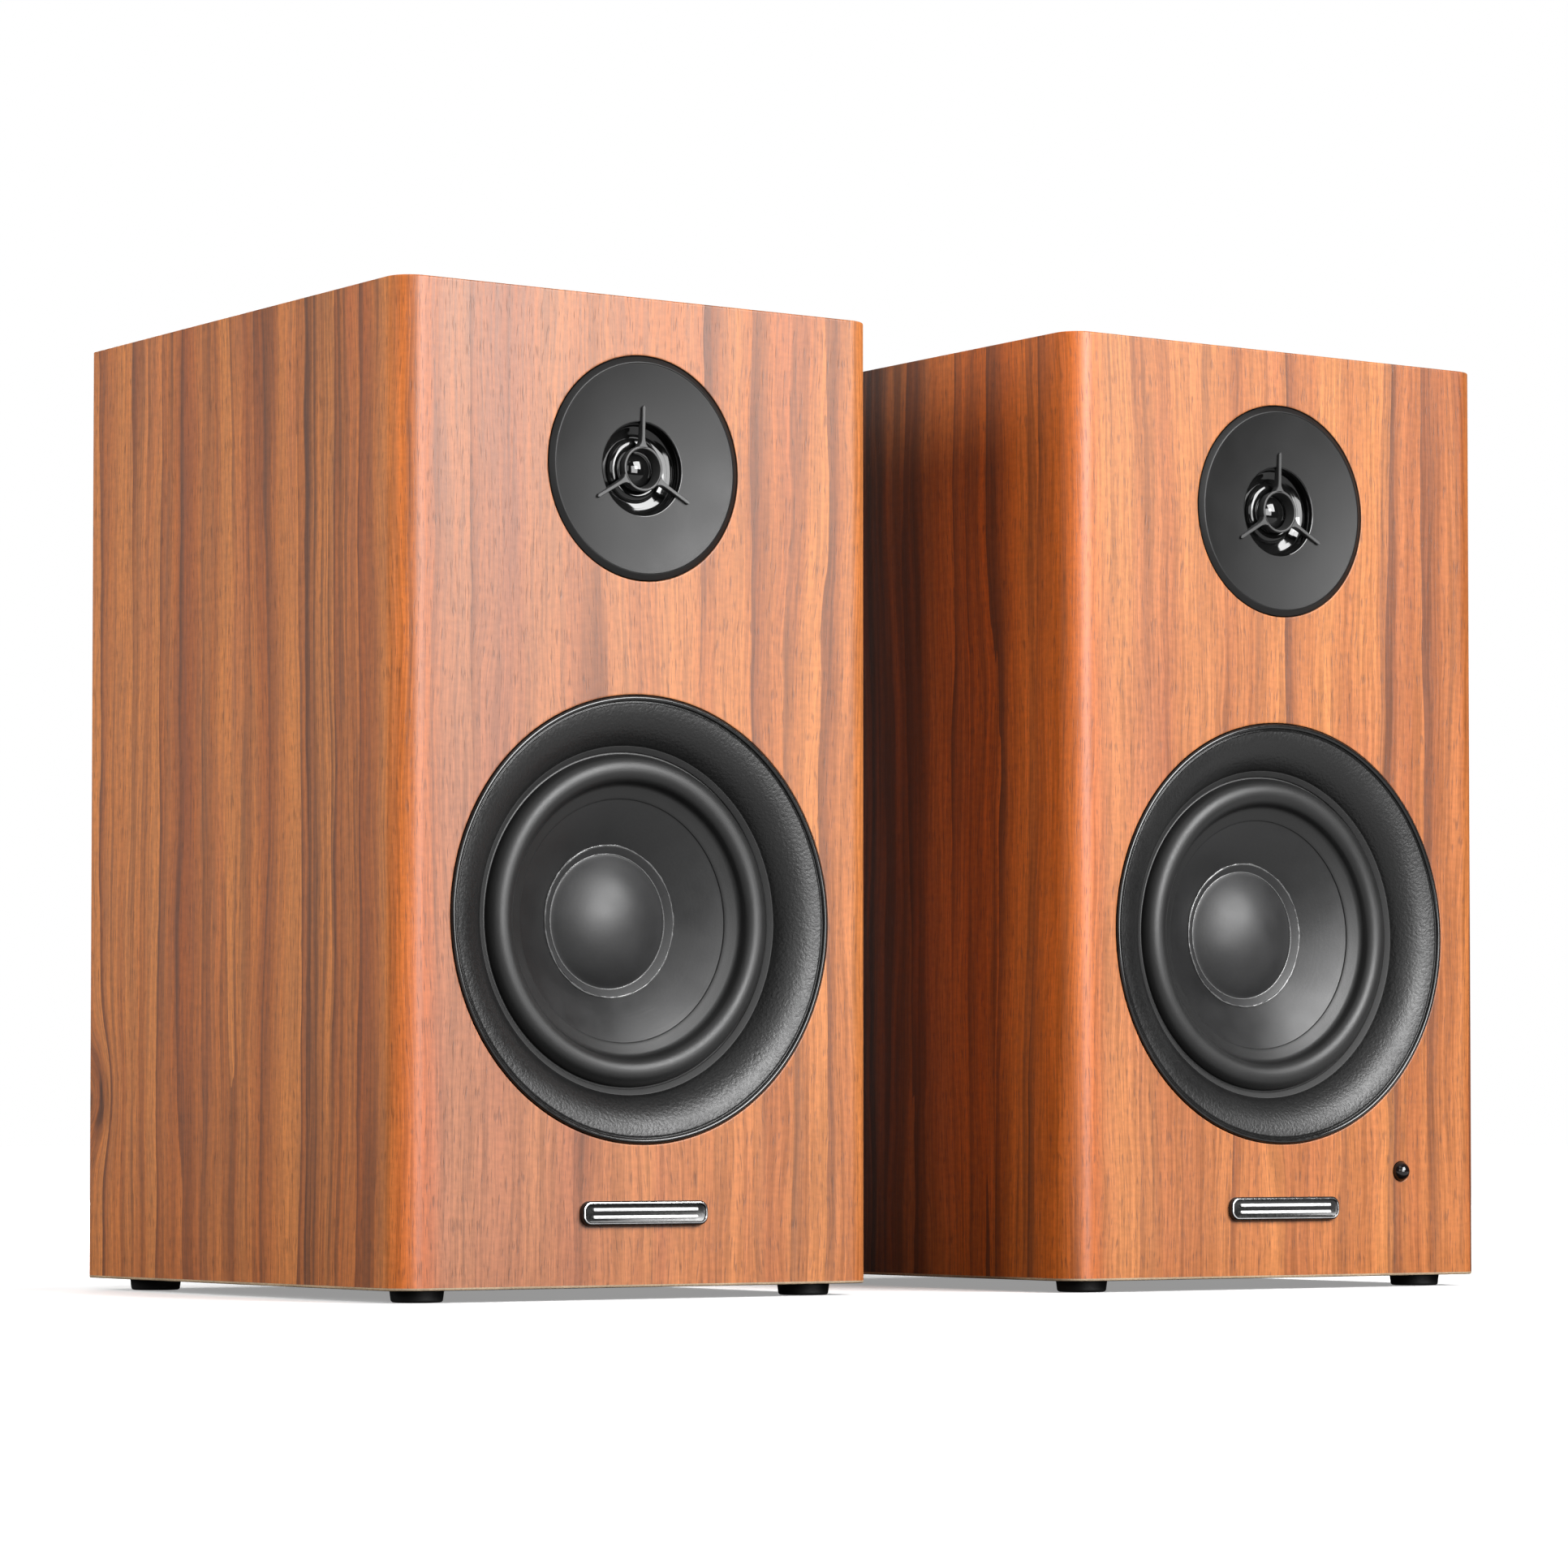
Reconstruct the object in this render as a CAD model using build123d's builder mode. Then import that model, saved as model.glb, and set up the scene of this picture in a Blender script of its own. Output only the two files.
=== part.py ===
from build123d import *

import os

# A pair of two-way bookshelf speakers, in millimetres.
# +X is the viewer's right, the fronts face -Y, +Z is up and the feet stand on Z = 0.
# Every speaker is drawn about X = 0 with its front face on Y = 0, then set down in its own place.

os.makedirs("parts", exist_ok=True)

# ---- Driving dimensions -------------------------------------------------------------------------

# Cabinet
WIDTH, HEIGHT, DEPTH = 184.0, 322.0, 210.0
FRONT_T, SIDE_T, PANEL_T, BACK_T = 18.0, 12.0, 12.0, 12.0
EDGE_R = 9.0  # rounded vertical front edges
BACK_INSET = 2.0  # the back board sits this far inside the rear edges

# Feet
FOOT_H, FOOT_R, FOOT_INSET, FOOT_TAPER, FOOT_EDGE_R = 4.0, 8.75, 17.0, 5.0, 0.8

# The pair
PAIR_SPACING = 247.5  # centre to centre
FORWARD_STEP = 26.0  # the right speaker stands this much nearer the viewer

# Heights of the parts on the front
WOOFER_Z = FOOT_H + 119.2
TWEETER_Z = FOOT_H + 266.2
BADGE_Z = FOOT_H + 24.0
LENS_X, LENS_Z = 54.0, FOOT_H + 36.6

# Woofer, as radii about its axis and depths behind the front face
TRIM_R, TRIM_PROUD, TRIM_LIP, TRIM_BACK_Y = 72.8, 0.8, 1.8, 3.0
FUNNEL_R, FUNNEL_Y = 57.1, 8.2  # inner edge of the funnel
SEAT_R, SEAT_Y, SEAT_BACK_Y = 54.9, 8.8, 10.2  # flat ring inside the funnel
FLANGE_R, FLANGE_Y, FLANGE_T = 66.5, 11.0, 1.2  # basket flange
BAFFLE_HOLE_R, REBATE_GAP = 58.5, 0.3
ROLL_R, ROLL_HALF, ROLL_CREST_Y = 49.4, 4.85, 5.4  # surround roll
CONE_R, CONE_Y, CONE_T = 44.3, 10.4, 0.7
CAP_R, CAP_Y, CAP_FLANGE_R, CAP_FLANGE_Y, CAP_APEX_Y = 22.0, 22.7, 24.7, 20.9, 14.3
NECK_R, NECK_Y = 12.9, 28.8
COIL_R, COIL_OUTER_R, FORMER_Y = 12.5, 13.5, 27.2
LANDING_Y = 37.4  # where the spider is glued to the basket
MOTOR_Y = 47.2  # front of the motor
TOP_PLATE_T, MAGNET_T, YOKE_T = 5.0, 15.0, 5.0
TOP_PLATE_R, MAGNET_R, YOKE_R = 40.0, 42.5, 40.0
POLE_R, VENT_R, MOTOR_GAP, MAGNET_HOLE_R, MAGNET_EDGE = 12.1, 3.0, 0.4, 20.0, 1.0
WOOFER_SCREW_RING = 62.8
BASKET_SHEET = 1.2
LANDING_IN, LANDING_OUT = 35.5, 39.6
BASKET_ARM_W, WINDOW_IN_R, WINDOW_Y, WINDOW_END_Y = 14.0, 42.0, 15.0, 35.0
WINDING_LEAD, COIL_REACH = 3.8, 8.0  # the winding's ends before and behind the motor's face

# Tweeter
WAVE_R, WAVE_PROUD, WAVE_BEVEL, WAVE_BACK_Y = 36.57, 1.0, 2.0, 3.0
THROAT_R, THROAT_Y = 15.25, 1.1
COLLAR_R, COLLAR_Y = 17.5, 7.4
GUARD_R, GUARD_WALL, GUARD_Y, GUARD_LENGTH = 7.2, 1.0, 0.2, 4.2
SPOKE_W, SPOKE_REACH, SPOKE_BACK_Y = 1.2, 20.4, 3.0
TWEETER_HOLE_R = 32.5
TWEETER_MAGNET_R, TWEETER_MAGNET_Y, TWEETER_MAGNET_END = 25.0, 9.3, 28.0

# Badge and lens
BADGE_W, BADGE_H, BADGE_T, BADGE_R, BADGE_EDGE = 48.5, 8.0, 2.0, 3.2, 0.5
TRAY_RIM, TRAY_DEPTH, BAR_MARGIN, BAR_H, BAR_OFFSET = 1.1, 0.5, 3.5, 1.4, 1.2
LENS_R, LENS_PROUD, LENS_LENGTH = 3.4, 3.0, 14.0

# Reflex port
PORT_Z, PORT_R, PORT_WALL, PORT_FLANGE_R, PORT_LENGTH = FOOT_H + 262.0, 17.0, 2.5, 27.0, 80.0

# Screws: shank, clearance hole, cross recess and the two head sizes
SCREW_R, SCREW_HOLE_R = 1.75, 1.8
RECESS_LENGTH, RECESS_W, RECESS_DEPTH = 3.0, 0.8, 0.9
WOOFER_HEAD_R, WOOFER_HEAD_H, WOOFER_SHANK = 2.8, 1.6, 10.0
REAR_HEAD_R, REAR_HEAD_H, REAR_SHANK, HEAD_EDGE_R = 3.0, 1.8, 13.0, 0.8

# Rear plates
PLATE_T = 3.0
PLATE_BACK = DEPTH - BACK_INSET  # inner face of a rear plate, on the back board
PLATE_FACE = PLATE_BACK + PLATE_T  # outer face of a rear plate
BOARD_FACE = PLATE_BACK - BACK_T  # inner face of the back board
RIM_T = 1.5  # raised rims of the switch and the mains inlet

# The pair's own box, from the lens to the rear screw heads, is centred on Y = 0
LEFT_FRONT_Y = (FORWARD_STEP + LENS_PROUD - PLATE_FACE - REAR_HEAD_H) / 2

# Spring terminals
POCKET, POCKET_WALL, POCKET_FLOOR = 34.0, 2.0, 192.0
BLOCK_FACE, BLOCK_TOP_GAP, PIVOT_Y, PIVOT_DROP = 197.0, 3.0, 201.0, 3.0
LEVER_PITCH, LEVER_W, LEVER_HUB_R = 13.5, 10.2, 2.4
EAR_W, EAR_HALF_H, EAR_NOSE = 2.5, 3.5, 2.6
WIRE_HOLE_R, WIRE_HOLE_DROP, WIRE_HOLE_DEPTH = 1.6, 8.0, 3.5
PIN_R, PIN_GAP, PIN_HALF, RIDGE_R = 1.0, 0.08, 6.3, 0.6

# Left rear plate
CUP_W, CUP_H, CUP_CORNER_R, CUP_Z = 70.0, 62.0, 5.0, FOOT_H + 100.0

# Right rear plate, with its controls
AMP_W, AMP_H, AMP_CORNER_R, AMP_Z = 124.0, 186.0, 6.0, FOOT_H + 111.0
AMP_OPEN_W, AMP_OPEN_H = 106.0, 168.0
KNOB_Z, KNOB_PITCH, KNOB_R, KNOB_H, KNOB_GAP = FOOT_H + 178.0, 36.0, 8.5, 12.0, 0.6
SHAFT_R, SHAFT_END = 3.0, 200.0
TERM_X, TERM_Z = -28.0, FOOT_H + 120.0
JACK_X, JACK_Z, JACK_PITCH, JACK_R, JACK_LENGTH = 30.0, FOOT_H + 120.0, 19.0, 4.15, 10.0
INLET_X, INLET_Z = -28.0, FOOT_H + 52.0
ROCKER_X, ROCKER_Z, ROCKER_Y, ROCKER_TILT = 28.0, FOOT_H + 52.0, 205.0, 9.0
ROCKER_HOLE_W, ROCKER_HOLE_H = 13.4, 21.6
BOARD_Y, BOARD_T = 186.0, 1.6

# ---- Helpers ------------------------------------------------------------------------------------

PLACES = {
    "left": Location((-PAIR_SPACING / 2, LEFT_FRONT_Y, 0)),
    "right": Location((PAIR_SPACING / 2, LEFT_FRONT_Y - FORWARD_STEP, 0)),
}


def save(part, name, sides=("left", "right")):
    """Writes one copy of a finished sub-part for each speaker that has it."""
    for side in sides:
        piece = part.moved(PLACES[side])
        piece.label = f"{side}_{name}"
        export_step(piece, f"parts/{piece.label}.step")


def across(y, x=0.0, z=0.0):
    """A plane parallel to the front at depth y. Extruding by a negative amount goes to the rear."""
    return Plane(origin=(x, y, z), x_dir=(1, 0, 0), z_dir=(0, -1, 0))


def radial(z, x=0.0):
    """A plane for a half section: X is the radius from an axis at x, z, and Y the depth."""
    return Plane(origin=(x, 0, z), x_dir=(1, 0, 0), z_dir=(0, 0, 1))


def turn_about(z, x=0.0):
    """The axis from front to rear through x, z."""
    return Axis((x, 0, z), (0, 1, 0))


def ring(inner, outer, front, back, z, x=0.0):
    """Adds a plain ring between two depths to the part being built."""
    with BuildSketch(across(front, x, z)) as section:
        Circle(outer)
        if inner:
            Circle(inner, mode=Mode.SUBTRACT)
    extrude(section.sketch, amount=front - back)


def slab(x, y, z, mode=Mode.ADD):
    """Adds or cuts a box given as three (low, high) pairs."""
    with Locations(((x[0] + x[1]) / 2, (y[0] + y[1]) / 2, (z[0] + z[1]) / 2)):
        Box(x[1] - x[0], y[1] - y[0], z[1] - z[0], mode=mode)


# ---- Cabinet ------------------------------------------------------------------------------------

TRIM_HOLE_R = TRIM_R + REBATE_GAP
FLANGE_HOLE_R = FLANGE_R + REBATE_GAP
WAVE_HOLE_R = WAVE_R + REBATE_GAP
LENS_HOLE_GAP = 0.1


def cut_round(radius, back, z, x=0.0):
    """Cuts a round hole from the front face to the given depth."""
    with BuildSketch(across(0, x, z)) as hole:
        Circle(radius)
    extrude(hole.sketch, amount=-back, mode=Mode.SUBTRACT)


def wrap_for(has_lens):
    """The front and both sides as one board, folded round the rounded front edges."""
    with BuildPart() as wrap:
        with BuildSketch(Plane.XY.offset(FOOT_H)):
            with Locations((0, DEPTH / 2)):
                outline = Rectangle(WIDTH, DEPTH)
            fillet(outline.vertices().group_by(Axis.Y)[0], EDGE_R)
            with Locations((0, (FRONT_T + DEPTH) / 2)):
                Rectangle(WIDTH - 2 * SIDE_T, DEPTH - FRONT_T, mode=Mode.SUBTRACT)
        extrude(amount=HEIGHT)
        cut_round(TRIM_HOLE_R, TRIM_BACK_Y, WOOFER_Z)
        cut_round(FLANGE_HOLE_R, FLANGE_Y + FLANGE_T, WOOFER_Z)
        cut_round(BAFFLE_HOLE_R, FRONT_T, WOOFER_Z)
        cut_round(WAVE_HOLE_R, WAVE_BACK_Y, TWEETER_Z)
        cut_round(TWEETER_HOLE_R, FRONT_T, TWEETER_Z)
        with BuildSketch(across(FLANGE_Y, 0, WOOFER_Z)):
            with PolarLocations(WOOFER_SCREW_RING, 4, start_angle=45):
                Circle(SCREW_HOLE_R)
        extrude(amount=FLANGE_Y - FRONT_T, mode=Mode.SUBTRACT)
        if has_lens:
            cut_round(LENS_R + LENS_HOLE_GAP, FRONT_T, LENS_Z, LENS_X)
    return wrap.part


save(wrap_for(has_lens=False), "cabinet_wrap", ["left"])
save(wrap_for(has_lens=True), "cabinet_wrap", ["right"])

INSIDE_X = WIDTH / 2 - SIDE_T
CEILING = FOOT_H + HEIGHT - PANEL_T
FLOOR = FOOT_H + PANEL_T

with BuildPart() as top_panel:
    slab((-INSIDE_X, INSIDE_X), (FRONT_T, DEPTH), (CEILING, CEILING + PANEL_T))
top_panel.part.label = "top_panel"
save(top_panel.part, "top_panel")

FOOT_SPOTS = [
    (x, y)
    for x in (FOOT_INSET - WIDTH / 2, WIDTH / 2 - FOOT_INSET)
    for y in (FOOT_INSET, DEPTH - FOOT_INSET)
]

with BuildPart() as bottom_panel:
    slab((-INSIDE_X, INSIDE_X), (FRONT_T, DEPTH), (FOOT_H, FLOOR))
bottom_panel.part.label = "bottom_panel"
save(bottom_panel.part, "bottom_panel")

with BuildPart() as feet:
    with BuildSketch(Plane.XY.offset(FOOT_H)):
        with Locations(*FOOT_SPOTS):
            Circle(FOOT_R)
    extrude(amount=-FOOT_H, taper=FOOT_TAPER)
    fillet(feet.edges().group_by(Axis.Z)[0], FOOT_EDGE_R)
feet.part.label = "feet"
save(feet.part, "feet")

# The back board, with the port hole and the opening behind each rear plate
CUP_SCREWS = [(x, z) for x in (-30.0, 30.0) for z in (-26.0, 26.0)]
AMP_SCREWS = [(x, z) for x in (-58.0, 58.0) for z in (-88.5, 0.0, 88.5)] + [(0, -88.5), (0, 88.5)]
PORT_OUTER_R = PORT_R + PORT_WALL
PORT_HOLE_GAP, PORT_LIP_R = 0.2, 5.0
POCKET_BOX = POCKET + 2 * POCKET_WALL
CUP_OPENING = POCKET_BOX + 1.0


def back_for(opening, centre_z, screws):
    """The back board: opening is the hole's width and height, screws are places about its centre."""
    with BuildPart() as back:
        slab((-INSIDE_X, INSIDE_X), (BOARD_FACE, PLATE_BACK), (FLOOR, CEILING))
        with BuildSketch(across(BOARD_FACE, 0, centre_z)):
            Rectangle(*opening)
            with Locations(*screws):
                Circle(SCREW_HOLE_R)
        extrude(amount=-BACK_T, mode=Mode.SUBTRACT)
        with BuildSketch(across(BOARD_FACE, 0, PORT_Z)):
            Circle(PORT_OUTER_R + PORT_HOLE_GAP)
        extrude(amount=-BACK_T, mode=Mode.SUBTRACT)
    return back.part


save(back_for((CUP_OPENING, CUP_OPENING), CUP_Z, CUP_SCREWS), "back_panel", ["left"])
save(back_for((AMP_OPEN_W, AMP_OPEN_H), AMP_Z, AMP_SCREWS), "back_panel", ["right"])

with BuildPart() as port_tube:
    with BuildSketch(radial(PORT_Z)):
        with BuildLine():
            mouth = JernArc((PORT_R, PLATE_FACE - PORT_LIP_R), (0, 1), PORT_LIP_R, -90)
            Polyline(
                mouth @ 1,
                (PORT_FLANGE_R, PLATE_FACE),
                (PORT_FLANGE_R, PLATE_BACK),
                (PORT_OUTER_R, PLATE_BACK),
                (PORT_OUTER_R, PLATE_FACE - PORT_LENGTH),
                (PORT_R, PLATE_FACE - PORT_LENGTH),
                mouth @ 0,
            )
        make_face()
    revolve(axis=turn_about(PORT_Z))
port_tube.part.label = "port_tube"
save(port_tube.part, "port_tube")

# ---- Woofer -------------------------------------------------------------------------------------

WOOFER = radial(WOOFER_Z)
WOOFER_AXIS = turn_about(WOOFER_Z)

with BuildPart() as woofer_trim_ring:
    with BuildSketch(WOOFER):
        with BuildLine():
            # smooth outer lip, then a small step down to the funnel
            lip = ThreePointArc(
                (TRIM_R, 0.0),
                (TRIM_R - TRIM_LIP / 2, -TRIM_PROUD),
                (TRIM_R - TRIM_LIP, -0.3),
            )
            step = Polyline(lip @ 1, (TRIM_R - TRIM_LIP, 0.15), (TRIM_R - TRIM_LIP - 0.3, 0.0))
            # the funnel steepens towards its inner edge
            funnel = ThreePointArc(step @ 1, (63.2, 2.9), (FUNNEL_R, FUNNEL_Y))
            seat = Polyline(funnel @ 1, (FUNNEL_R, SEAT_Y), (SEAT_R, SEAT_Y), (SEAT_R, SEAT_BACK_Y))
            foot = Line(seat @ 1, (58.6, SEAT_BACK_Y))
            back = ThreePointArc(foot @ 1, (62.6, 6.1), (66.3, TRIM_BACK_Y))
            Polyline(back @ 1, (TRIM_R, TRIM_BACK_Y), lip @ 0)
        make_face()
    revolve(axis=WOOFER_AXIS)
woofer_trim_ring.part.label = "woofer_trim_ring"
save(woofer_trim_ring.part, "woofer_trim_ring")

FLANGE_BACK = FLANGE_Y + FLANGE_T
FLANGE_HOLE = SCREW_HOLE_R + 0.4

with BuildPart() as woofer_basket:
    with BuildSketch(WOOFER):
        with BuildLine():
            Polyline(
                (56.2, FLANGE_Y),
                (FLANGE_R, FLANGE_Y),
                (FLANGE_R, FLANGE_BACK),
                (57.4, FLANGE_BACK),
                (55.4, 24.0),
                (LANDING_OUT + 0.8, LANDING_Y + BASKET_SHEET),
                (LANDING_IN + BASKET_SHEET, LANDING_Y + BASKET_SHEET),
                (LANDING_IN + BASKET_SHEET, MOTOR_Y),
                (24.0, MOTOR_Y),
                (24.0, MOTOR_Y - BASKET_SHEET),
                (LANDING_IN, MOTOR_Y - BASKET_SHEET),
                (LANDING_IN, LANDING_Y),
                (LANDING_OUT, LANDING_Y),
                (54.2, 23.4),
                close=True,
            )
        make_face()
    revolve(axis=WOOFER_AXIS)
    # six windows between the arms, and the screw holes in the flange
    with BuildSketch(across(WINDOW_Y, 0, WOOFER_Z)):
        Circle(FLANGE_R)
        Circle(WINDOW_IN_R, mode=Mode.SUBTRACT)
        with PolarLocations(FLANGE_R / 2, 6):
            Rectangle(FLANGE_R, BASKET_ARM_W, mode=Mode.SUBTRACT)
    extrude(amount=WINDOW_Y - WINDOW_END_Y, mode=Mode.SUBTRACT)
    with BuildSketch(across(FLANGE_Y, 0, WOOFER_Z)):
        with PolarLocations(WOOFER_SCREW_RING, 4, start_angle=45):
            Circle(FLANGE_HOLE)
    extrude(amount=-FLANGE_T, mode=Mode.SUBTRACT)
woofer_basket.part.label = "woofer_basket"
save(woofer_basket.part, "woofer_basket")

with BuildPart() as woofer_screws:
    with BuildSketch(across(FLANGE_Y, 0, WOOFER_Z)):
        with PolarLocations(WOOFER_SCREW_RING, 4, start_angle=45):
            Circle(WOOFER_HEAD_R)
    extrude(amount=WOOFER_HEAD_H)
    fillet(woofer_screws.edges().group_by(Axis.Y)[0], HEAD_EDGE_R)
    with BuildSketch(across(FLANGE_Y, 0, WOOFER_Z)):
        with PolarLocations(WOOFER_SCREW_RING, 4, start_angle=45):
            Circle(SCREW_R)
    extrude(amount=-WOOFER_SHANK)
    # cross recess
    with BuildSketch(across(FLANGE_Y - WOOFER_HEAD_H, 0, WOOFER_Z)):
        with PolarLocations(WOOFER_SCREW_RING, 4, start_angle=45):
            Rectangle(RECESS_LENGTH, RECESS_W)
            Rectangle(RECESS_W, RECESS_LENGTH)
    extrude(amount=-RECESS_DEPTH, mode=Mode.SUBTRACT)
woofer_screws.part.label = "woofer_screws"
save(woofer_screws.part, "woofer_screws")

# The cone's front face: a curve down to the dust cap, then straight to the neck
CONE_MID = (33.0, 16.05)

with BuildPart() as woofer_cone:
    with BuildSketch(WOOFER):
        with BuildLine():
            face = ThreePointArc((CONE_R, CONE_Y), CONE_MID, (CAP_FLANGE_R, CAP_FLANGE_Y))
            neck = Polyline(face @ 1, (CAP_R, CAP_Y), (NECK_R, NECK_Y), (NECK_R, NECK_Y + CONE_T))
            rear = Polyline(neck @ 1, (CAP_R, CAP_Y + CONE_T), (CAP_FLANGE_R, CAP_FLANGE_Y + CONE_T))
            rear_face = ThreePointArc(
                rear @ 1,
                (CONE_MID[0], CONE_MID[1] + CONE_T),
                (CONE_R, CONE_Y + CONE_T),
            )
            Line(rear_face @ 1, face @ 0)
        make_face()
    revolve(axis=WOOFER_AXIS)
woofer_cone.part.label = "woofer_cone"
save(woofer_cone.part, "woofer_cone")

CAP_T = 0.6

with BuildPart() as dust_cap:
    with BuildSketch(WOOFER):
        with BuildLine():
            dome = ThreePointArc((-CAP_R, CAP_Y - CAP_T), (0, CAP_APEX_Y), (CAP_R, CAP_Y - CAP_T))
            brim = Polyline(
                dome @ 1,
                (CAP_FLANGE_R, CAP_FLANGE_Y - CAP_T),
                (CAP_FLANGE_R, CAP_FLANGE_Y),
                (CAP_R, CAP_Y),
                (CAP_R - CAP_T, CAP_Y),
            )
            under = ThreePointArc(brim @ 1, (0, CAP_APEX_Y + CAP_T), (CAP_T - CAP_R, CAP_Y))
            Polyline(
                under @ 1,
                (-CAP_R, CAP_Y),
                (-CAP_FLANGE_R, CAP_FLANGE_Y),
                (-CAP_FLANGE_R, CAP_FLANGE_Y - CAP_T),
                dome @ 0,
            )
        make_face()
        split(bisect_by=Plane.YZ, keep=Keep.TOP)
    revolve(axis=WOOFER_AXIS)
dust_cap.part.label = "dust_cap"
save(dust_cap.part, "dust_cap")

SURROUND_T = 0.8
GLUE_GAP = 0.1  # keeps the rubber clear of the moving cone
INNER_LIP_R, INNER_LIP_Y = 39.8, 12.3
RUBBER_RIM_R = 59.0

with BuildPart() as woofer_surround:
    with BuildSketch(WOOFER):
        with BuildLine():
            outer = Line((RUBBER_RIM_R, SEAT_BACK_Y), (ROLL_R + ROLL_HALF, SEAT_BACK_Y))
            roll = ThreePointArc(
                outer @ 1,
                (ROLL_R, ROLL_CREST_Y),
                (ROLL_R - ROLL_HALF, CONE_Y - 0.75),
            )
            lip = Polyline(
                roll @ 1,
                (INNER_LIP_R, INNER_LIP_Y - 0.55),
                (INNER_LIP_R, INNER_LIP_Y - GLUE_GAP),
                (CONE_R, CONE_Y - 2 * GLUE_GAP),
                (CONE_R + 1.2, CONE_Y - 2 * GLUE_GAP),
            )
            under = ThreePointArc(
                lip @ 1,
                (ROLL_R, ROLL_CREST_Y + SURROUND_T),
                (ROLL_R + ROLL_HALF - SURROUND_T, FLANGE_Y),
            )
            Polyline(under @ 1, (RUBBER_RIM_R, FLANGE_Y), outer @ 0)
        make_face()
    revolve(axis=WOOFER_AXIS)
woofer_surround.part.label = "woofer_surround"
save(woofer_surround.part, "woofer_surround")

SPIDER_T, SPIDER_WAVE, SPIDER_FOLDS = 0.6, 2.2, 8
SPIDER_FLAT = 1.0  # plain width inside and outside the folds
SPIDER_FOLDS_IN = COIL_OUTER_R + 3 * SPIDER_FLAT
SPIDER_FOLD = (LANDING_IN - SPIDER_FLAT - SPIDER_FOLDS_IN) / SPIDER_FOLDS
SPIDER_RIM_R = 39.0
SPIDER_GLUE = 0.15


def spider_line(y):
    """The spider's corrugated line at depth y, from the coil out to the landing."""
    wave = [
        (SPIDER_FOLDS_IN + (i + 0.5) * SPIDER_FOLD, y - SPIDER_WAVE * (i % 2))
        for i in range(SPIDER_FOLDS)
    ]
    inner = [(NECK_R + SPIDER_GLUE, y), (SPIDER_FOLDS_IN - SPIDER_FLAT, y)]
    return [*inner, *wave, (LANDING_IN, y), (SPIDER_RIM_R, y)]


with BuildPart() as woofer_spider:
    with BuildSketch(WOOFER):
        with BuildLine():
            Polyline(
                *spider_line(LANDING_Y - SPIDER_T),
                *reversed(spider_line(LANDING_Y)),
                close=True,
            )
        make_face()
    revolve(axis=WOOFER_AXIS)
woofer_spider.part.label = "woofer_spider"
save(woofer_spider.part, "woofer_spider")

with BuildPart() as voice_coil:
    ring(COIL_R, NECK_R, FORMER_Y, MOTOR_Y + COIL_REACH, WOOFER_Z)
    ring(COIL_R, COIL_OUTER_R, MOTOR_Y - WINDING_LEAD, MOTOR_Y + COIL_REACH, WOOFER_Z)
voice_coil.part.label = "voice_coil"
save(voice_coil.part, "voice_coil")

MAGNET_Y = MOTOR_Y + TOP_PLATE_T
YOKE_Y = MAGNET_Y + MAGNET_T

with BuildPart() as woofer_top_plate:
    ring(COIL_OUTER_R + MOTOR_GAP, TOP_PLATE_R, MOTOR_Y, MAGNET_Y, WOOFER_Z)
woofer_top_plate.part.label = "woofer_top_plate"
save(woofer_top_plate.part, "woofer_top_plate")

with BuildPart() as woofer_magnet:
    ring(MAGNET_HOLE_R, MAGNET_R, MAGNET_Y, YOKE_Y, WOOFER_Z)
    chamfer(woofer_magnet.edges().filter_by(GeomType.CIRCLE).group_by(SortBy.RADIUS)[-1], MAGNET_EDGE)
woofer_magnet.part.label = "woofer_magnet"
save(woofer_magnet.part, "woofer_magnet")

with BuildPart() as woofer_yoke:
    ring(VENT_R, YOKE_R, YOKE_Y, YOKE_Y + YOKE_T, WOOFER_Z)
    ring(VENT_R, POLE_R, MOTOR_Y, YOKE_Y, WOOFER_Z)
woofer_yoke.part.label = "woofer_yoke"
save(woofer_yoke.part, "woofer_yoke")

# ---- Tweeter ------------------------------------------------------------------------------------

TWEETER = radial(TWEETER_Z)
TWEETER_AXIS = turn_about(TWEETER_Z)
DISH_R = WAVE_R - WAVE_BEVEL

with BuildPart() as tweeter_waveguide:
    with BuildSketch(TWEETER):
        with BuildLine():
            bevel = Polyline((WAVE_R, 0.2), (DISH_R, -WAVE_PROUD), (DISH_R - 0.3, -WAVE_PROUD))
            crease = Line(bevel @ 1, (DISH_R - 0.5, -WAVE_PROUD + 0.2))
            dish = ThreePointArc(crease @ 1, (24.0, 0.45), (THROAT_R, THROAT_Y))
            throat = ThreePointArc(dish @ 1, (14.3, 3.2), (13.6, COLLAR_Y))
            Polyline(
                throat @ 1,
                (COLLAR_R, COLLAR_Y),
                (COLLAR_R, WAVE_BACK_Y),
                (WAVE_R, WAVE_BACK_Y),
                bevel @ 0,
            )
        make_face()
    revolve(axis=TWEETER_AXIS)
    # the guard: a short tube on three legs that run out onto the dish
    ring(0, GUARD_R, GUARD_Y, GUARD_Y + GUARD_LENGTH, TWEETER_Z)
    with BuildSketch(across(GUARD_Y, 0, TWEETER_Z)):
        with PolarLocations(0, 3, start_angle=90):
            with Locations((SPOKE_REACH / 2, 0)):
                Rectangle(SPOKE_REACH, SPOKE_W)
    extrude(amount=GUARD_Y - SPOKE_BACK_Y)
    with BuildSketch(across(GUARD_Y, 0, TWEETER_Z)):
        Circle(GUARD_R - GUARD_WALL)
    extrude(amount=-GUARD_LENGTH, mode=Mode.SUBTRACT)
tweeter_waveguide.part.label = "tweeter_waveguide"
save(tweeter_waveguide.part, "tweeter_waveguide")

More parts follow.
